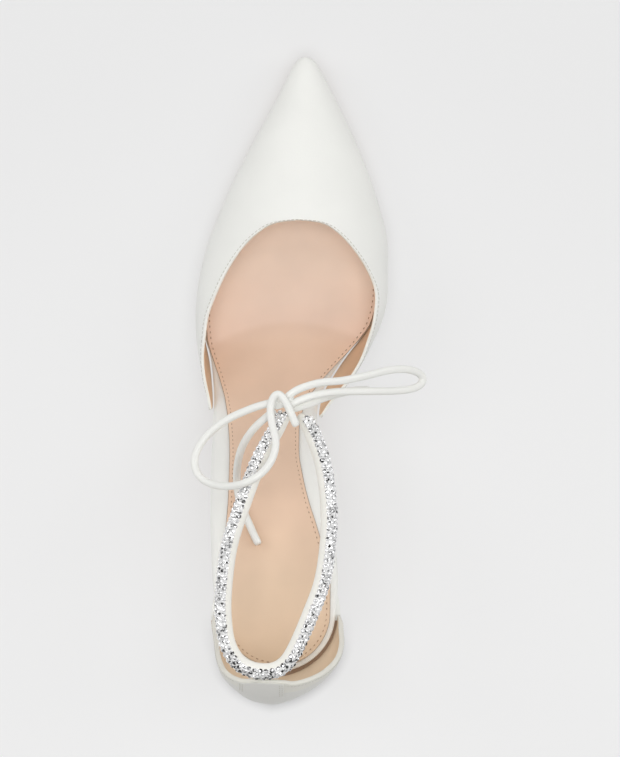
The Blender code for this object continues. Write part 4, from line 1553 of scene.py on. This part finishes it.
class PUMP_OT_stage(Operator):
    """Plain floor, soft studio light and the camera overhead"""

    bl_idname = "pump.stage"
    bl_label = "Stage"

    def execute(self, context):
        scene, stage = context.scene, context.scene.pump.stage
        self.lay_floor(scene, stage)
        for name, place, size, share in SOFTBOXES:
            lamp = bpy.data.lights.new(name, "AREA")
            lamp.shape = "SQUARE"
            lamp.size = size
            lamp.energy = stage.softbox_power * share
            box = bpy.data.objects.new(name, lamp)
            box.location = place
            box.rotation_euler = (-Vector(place)).to_track_quat("-Z", "Y").to_euler()
            box.visible_camera = False
            scene.collection.objects.link(box)
        self.light_room(scene, stage.ambient)
        self.set_camera(scene, stage)
        return {"FINISHED"}

    def lay_floor(self, scene, stage):
        """A wide pale floor that glows a little."""
        mesh = bpy.data.meshes.new("floor")
        ends = ((-1, -1), (1, -1), (1, 1), (-1, 1))
        corners = [(x * FLOOR_HALF, y * FLOOR_HALF, 0.0) for x, y in ends]
        mesh.from_pydata(corners, [], [(0, 1, 2, 3)])
        made, tree, shader = new_material("floor", 0.85, emission_strength=stage.floor_glow)
        feed(tree, shader.inputs["Emission Color"], (1.0, 1.0, 1.0))
        place = object_place(tree)
        cloud = add_node(tree, "ShaderNodeTexNoise", vector=place, scale=2.0, detail=1.0)
        light, dark = tones(stage.floor, 0.003)
        tone = mix_colours(tree, dark, light, cloud.outputs["Fac"])
        left = self.floor_shade(tree, parts_of(tree, place))
        feed(tree, shader.inputs["Base Color"], mix_colours(tree, tone, left, 1.0, "MULTIPLY"))
        glow = spread(
            tree,
            parts_of(tree, place)["Y"],
            from_min=GLOW_ENDS[0],
            from_max=GLOW_ENDS[1],
            to_min=GLOW_SHARES[0] * stage.floor_glow,
            to_max=GLOW_SHARES[1] * stage.floor_glow,
        )
        feed(tree, shader.inputs["Emission Strength"], reckon(tree, "MULTIPLY", left, glow))
        mesh.materials.append(made)
        floor = bpy.data.objects.new("floor", mesh)
        scene.collection.objects.link(floor)

    def floor_shade(self, tree, place):
        """The share of the floor's tone that is left in the soft shadow round the counter."""
        x = reckon(tree, "SUBTRACT", place["X"], SEAT_CENTRE[0] * MM)
        y = reckon(tree, "SUBTRACT", SEAT_CENTRE[1] * MM, place["Y"])
        turn = reckon(tree, "DIVIDE", reckon(tree, "ARCTAN2", y, x), math.pi)
        stops = []
        for angle, depth in SHADOW_STOPS:
            widest = max(
                read(COUNTER_ROWS, COUNTER_COLUMNS, name, angle) for name in ("foot", "bulge", "rim")
            )
            stops.append((angle / 180, (widest / SHADOW_SCALE, depth, 0.0)))
        shade = parts_of(tree, ramp_colours(tree, turn, stops))
        squares = [reckon(tree, "MULTIPLY", value, value) for value in (x, y)]
        away = reckon(tree, "SQRT", reckon(tree, "ADD", *squares))
        edge = reckon(tree, "MULTIPLY", shade["X"], SHADOW_SCALE * MM)
        outside = reckon(tree, "SUBTRACT", away, edge)
        reach = reckon(tree, "DIVIDE", outside, SHADOW_REACH, use_clamp=True)
        near = reckon(tree, "SUBTRACT", 1.0, reach, use_clamp=True)
        depth = reckon(tree, "MULTIPLY", reckon(tree, "POWER", near, SHADOW_FADE), shade["Y"])
        behind = reckon(tree, "GREATER_THAN", y, 0.0)
        return reckon(tree, "SUBTRACT", 1.0, reckon(tree, "MULTIPLY", depth, behind))

    def light_room(self, scene, strength):
        """A pale room, brightest overhead, with one darker band between its softboxes."""
        room = bpy.data.worlds.new("studio")
        room.use_nodes = True
        tree = room.node_tree
        glow = tree.nodes["Background"]
        way = parts_of(tree, add_node(tree, "ShaderNodeTexCoord").outputs["Generated"])
        stops = [(height, (tone, tone, tone)) for height, tone in ROOM_TONES]
        feed(tree, glow.inputs["Color"], ramp_colours(tree, way["Z"], stops))
        ends = [share * strength for share in ROOM_SIDES]
        sides = spread(tree, way["Y"], from_min=-1.0, to_min=ends[0], to_max=ends[1])
        feed(tree, glow.inputs["Strength"], sides)
        scene.world = room
        scene.view_settings.view_transform = "Standard"

    def set_camera(self, scene, stage):
        """Straight above the shoe, from far enough that its top and its floor look one size."""
        lens = bpy.data.cameras.new("camera")
        lens.sensor_width = 36.0
        lens.lens = lens.sensor_width * stage.camera_height / stage.view_height
        lens.clip_end = 2 * stage.camera_height
        eye = bpy.data.objects.new("camera", lens)
        eye.location = (*[part * MM for part in VIEW_CENTRE], stage.camera_height)
        scene.collection.objects.link(eye)
        scene.camera = eye


OPERATORS = (
    PUMP_OT_stage,
    PUMP_OT_materials,
    PUMP_OT_laces,
    PUMP_OT_vamp,
    PUMP_OT_counter,
    PUMP_OT_sole,
    PUMP_OT_heel,
    PUMP_OT_strap,
)


class PUMP_PT_sidebar(Panel):
    """Lists the pump's pieces in the order in which they are made"""

    bl_idname = "PUMP_PT_sidebar"
    bl_label = "Ankle Strap Pump"
    bl_space_type = "VIEW_3D"
    bl_region_type = "UI"
    bl_category = "Pump"

    def draw(self, context):
        for operator in OPERATORS:
            self.layout.operator(operator.bl_idname)


CLASSES = (
    UpperSettings,
    SoleSettings,
    StrapSettings,
    LaceSettings,
    StageSettings,
    PumpSettings,
    *OPERATORS,
    PUMP_PT_sidebar,
)


def register():
    for made in CLASSES:
        bpy.utils.register_class(made)
    bpy.types.Scene.pump = PointerProperty(type=PumpSettings)


def unregister():
    del bpy.types.Scene.pump
    for made in reversed(CLASSES):
        bpy.utils.unregister_class(made)


def main():
    """Makes every piece."""
    register()
    for operator in OPERATORS:
        group, name = operator.bl_idname.split(".")
        getattr(getattr(bpy.ops, group), name)()


if __name__ == "__main__":
    main()
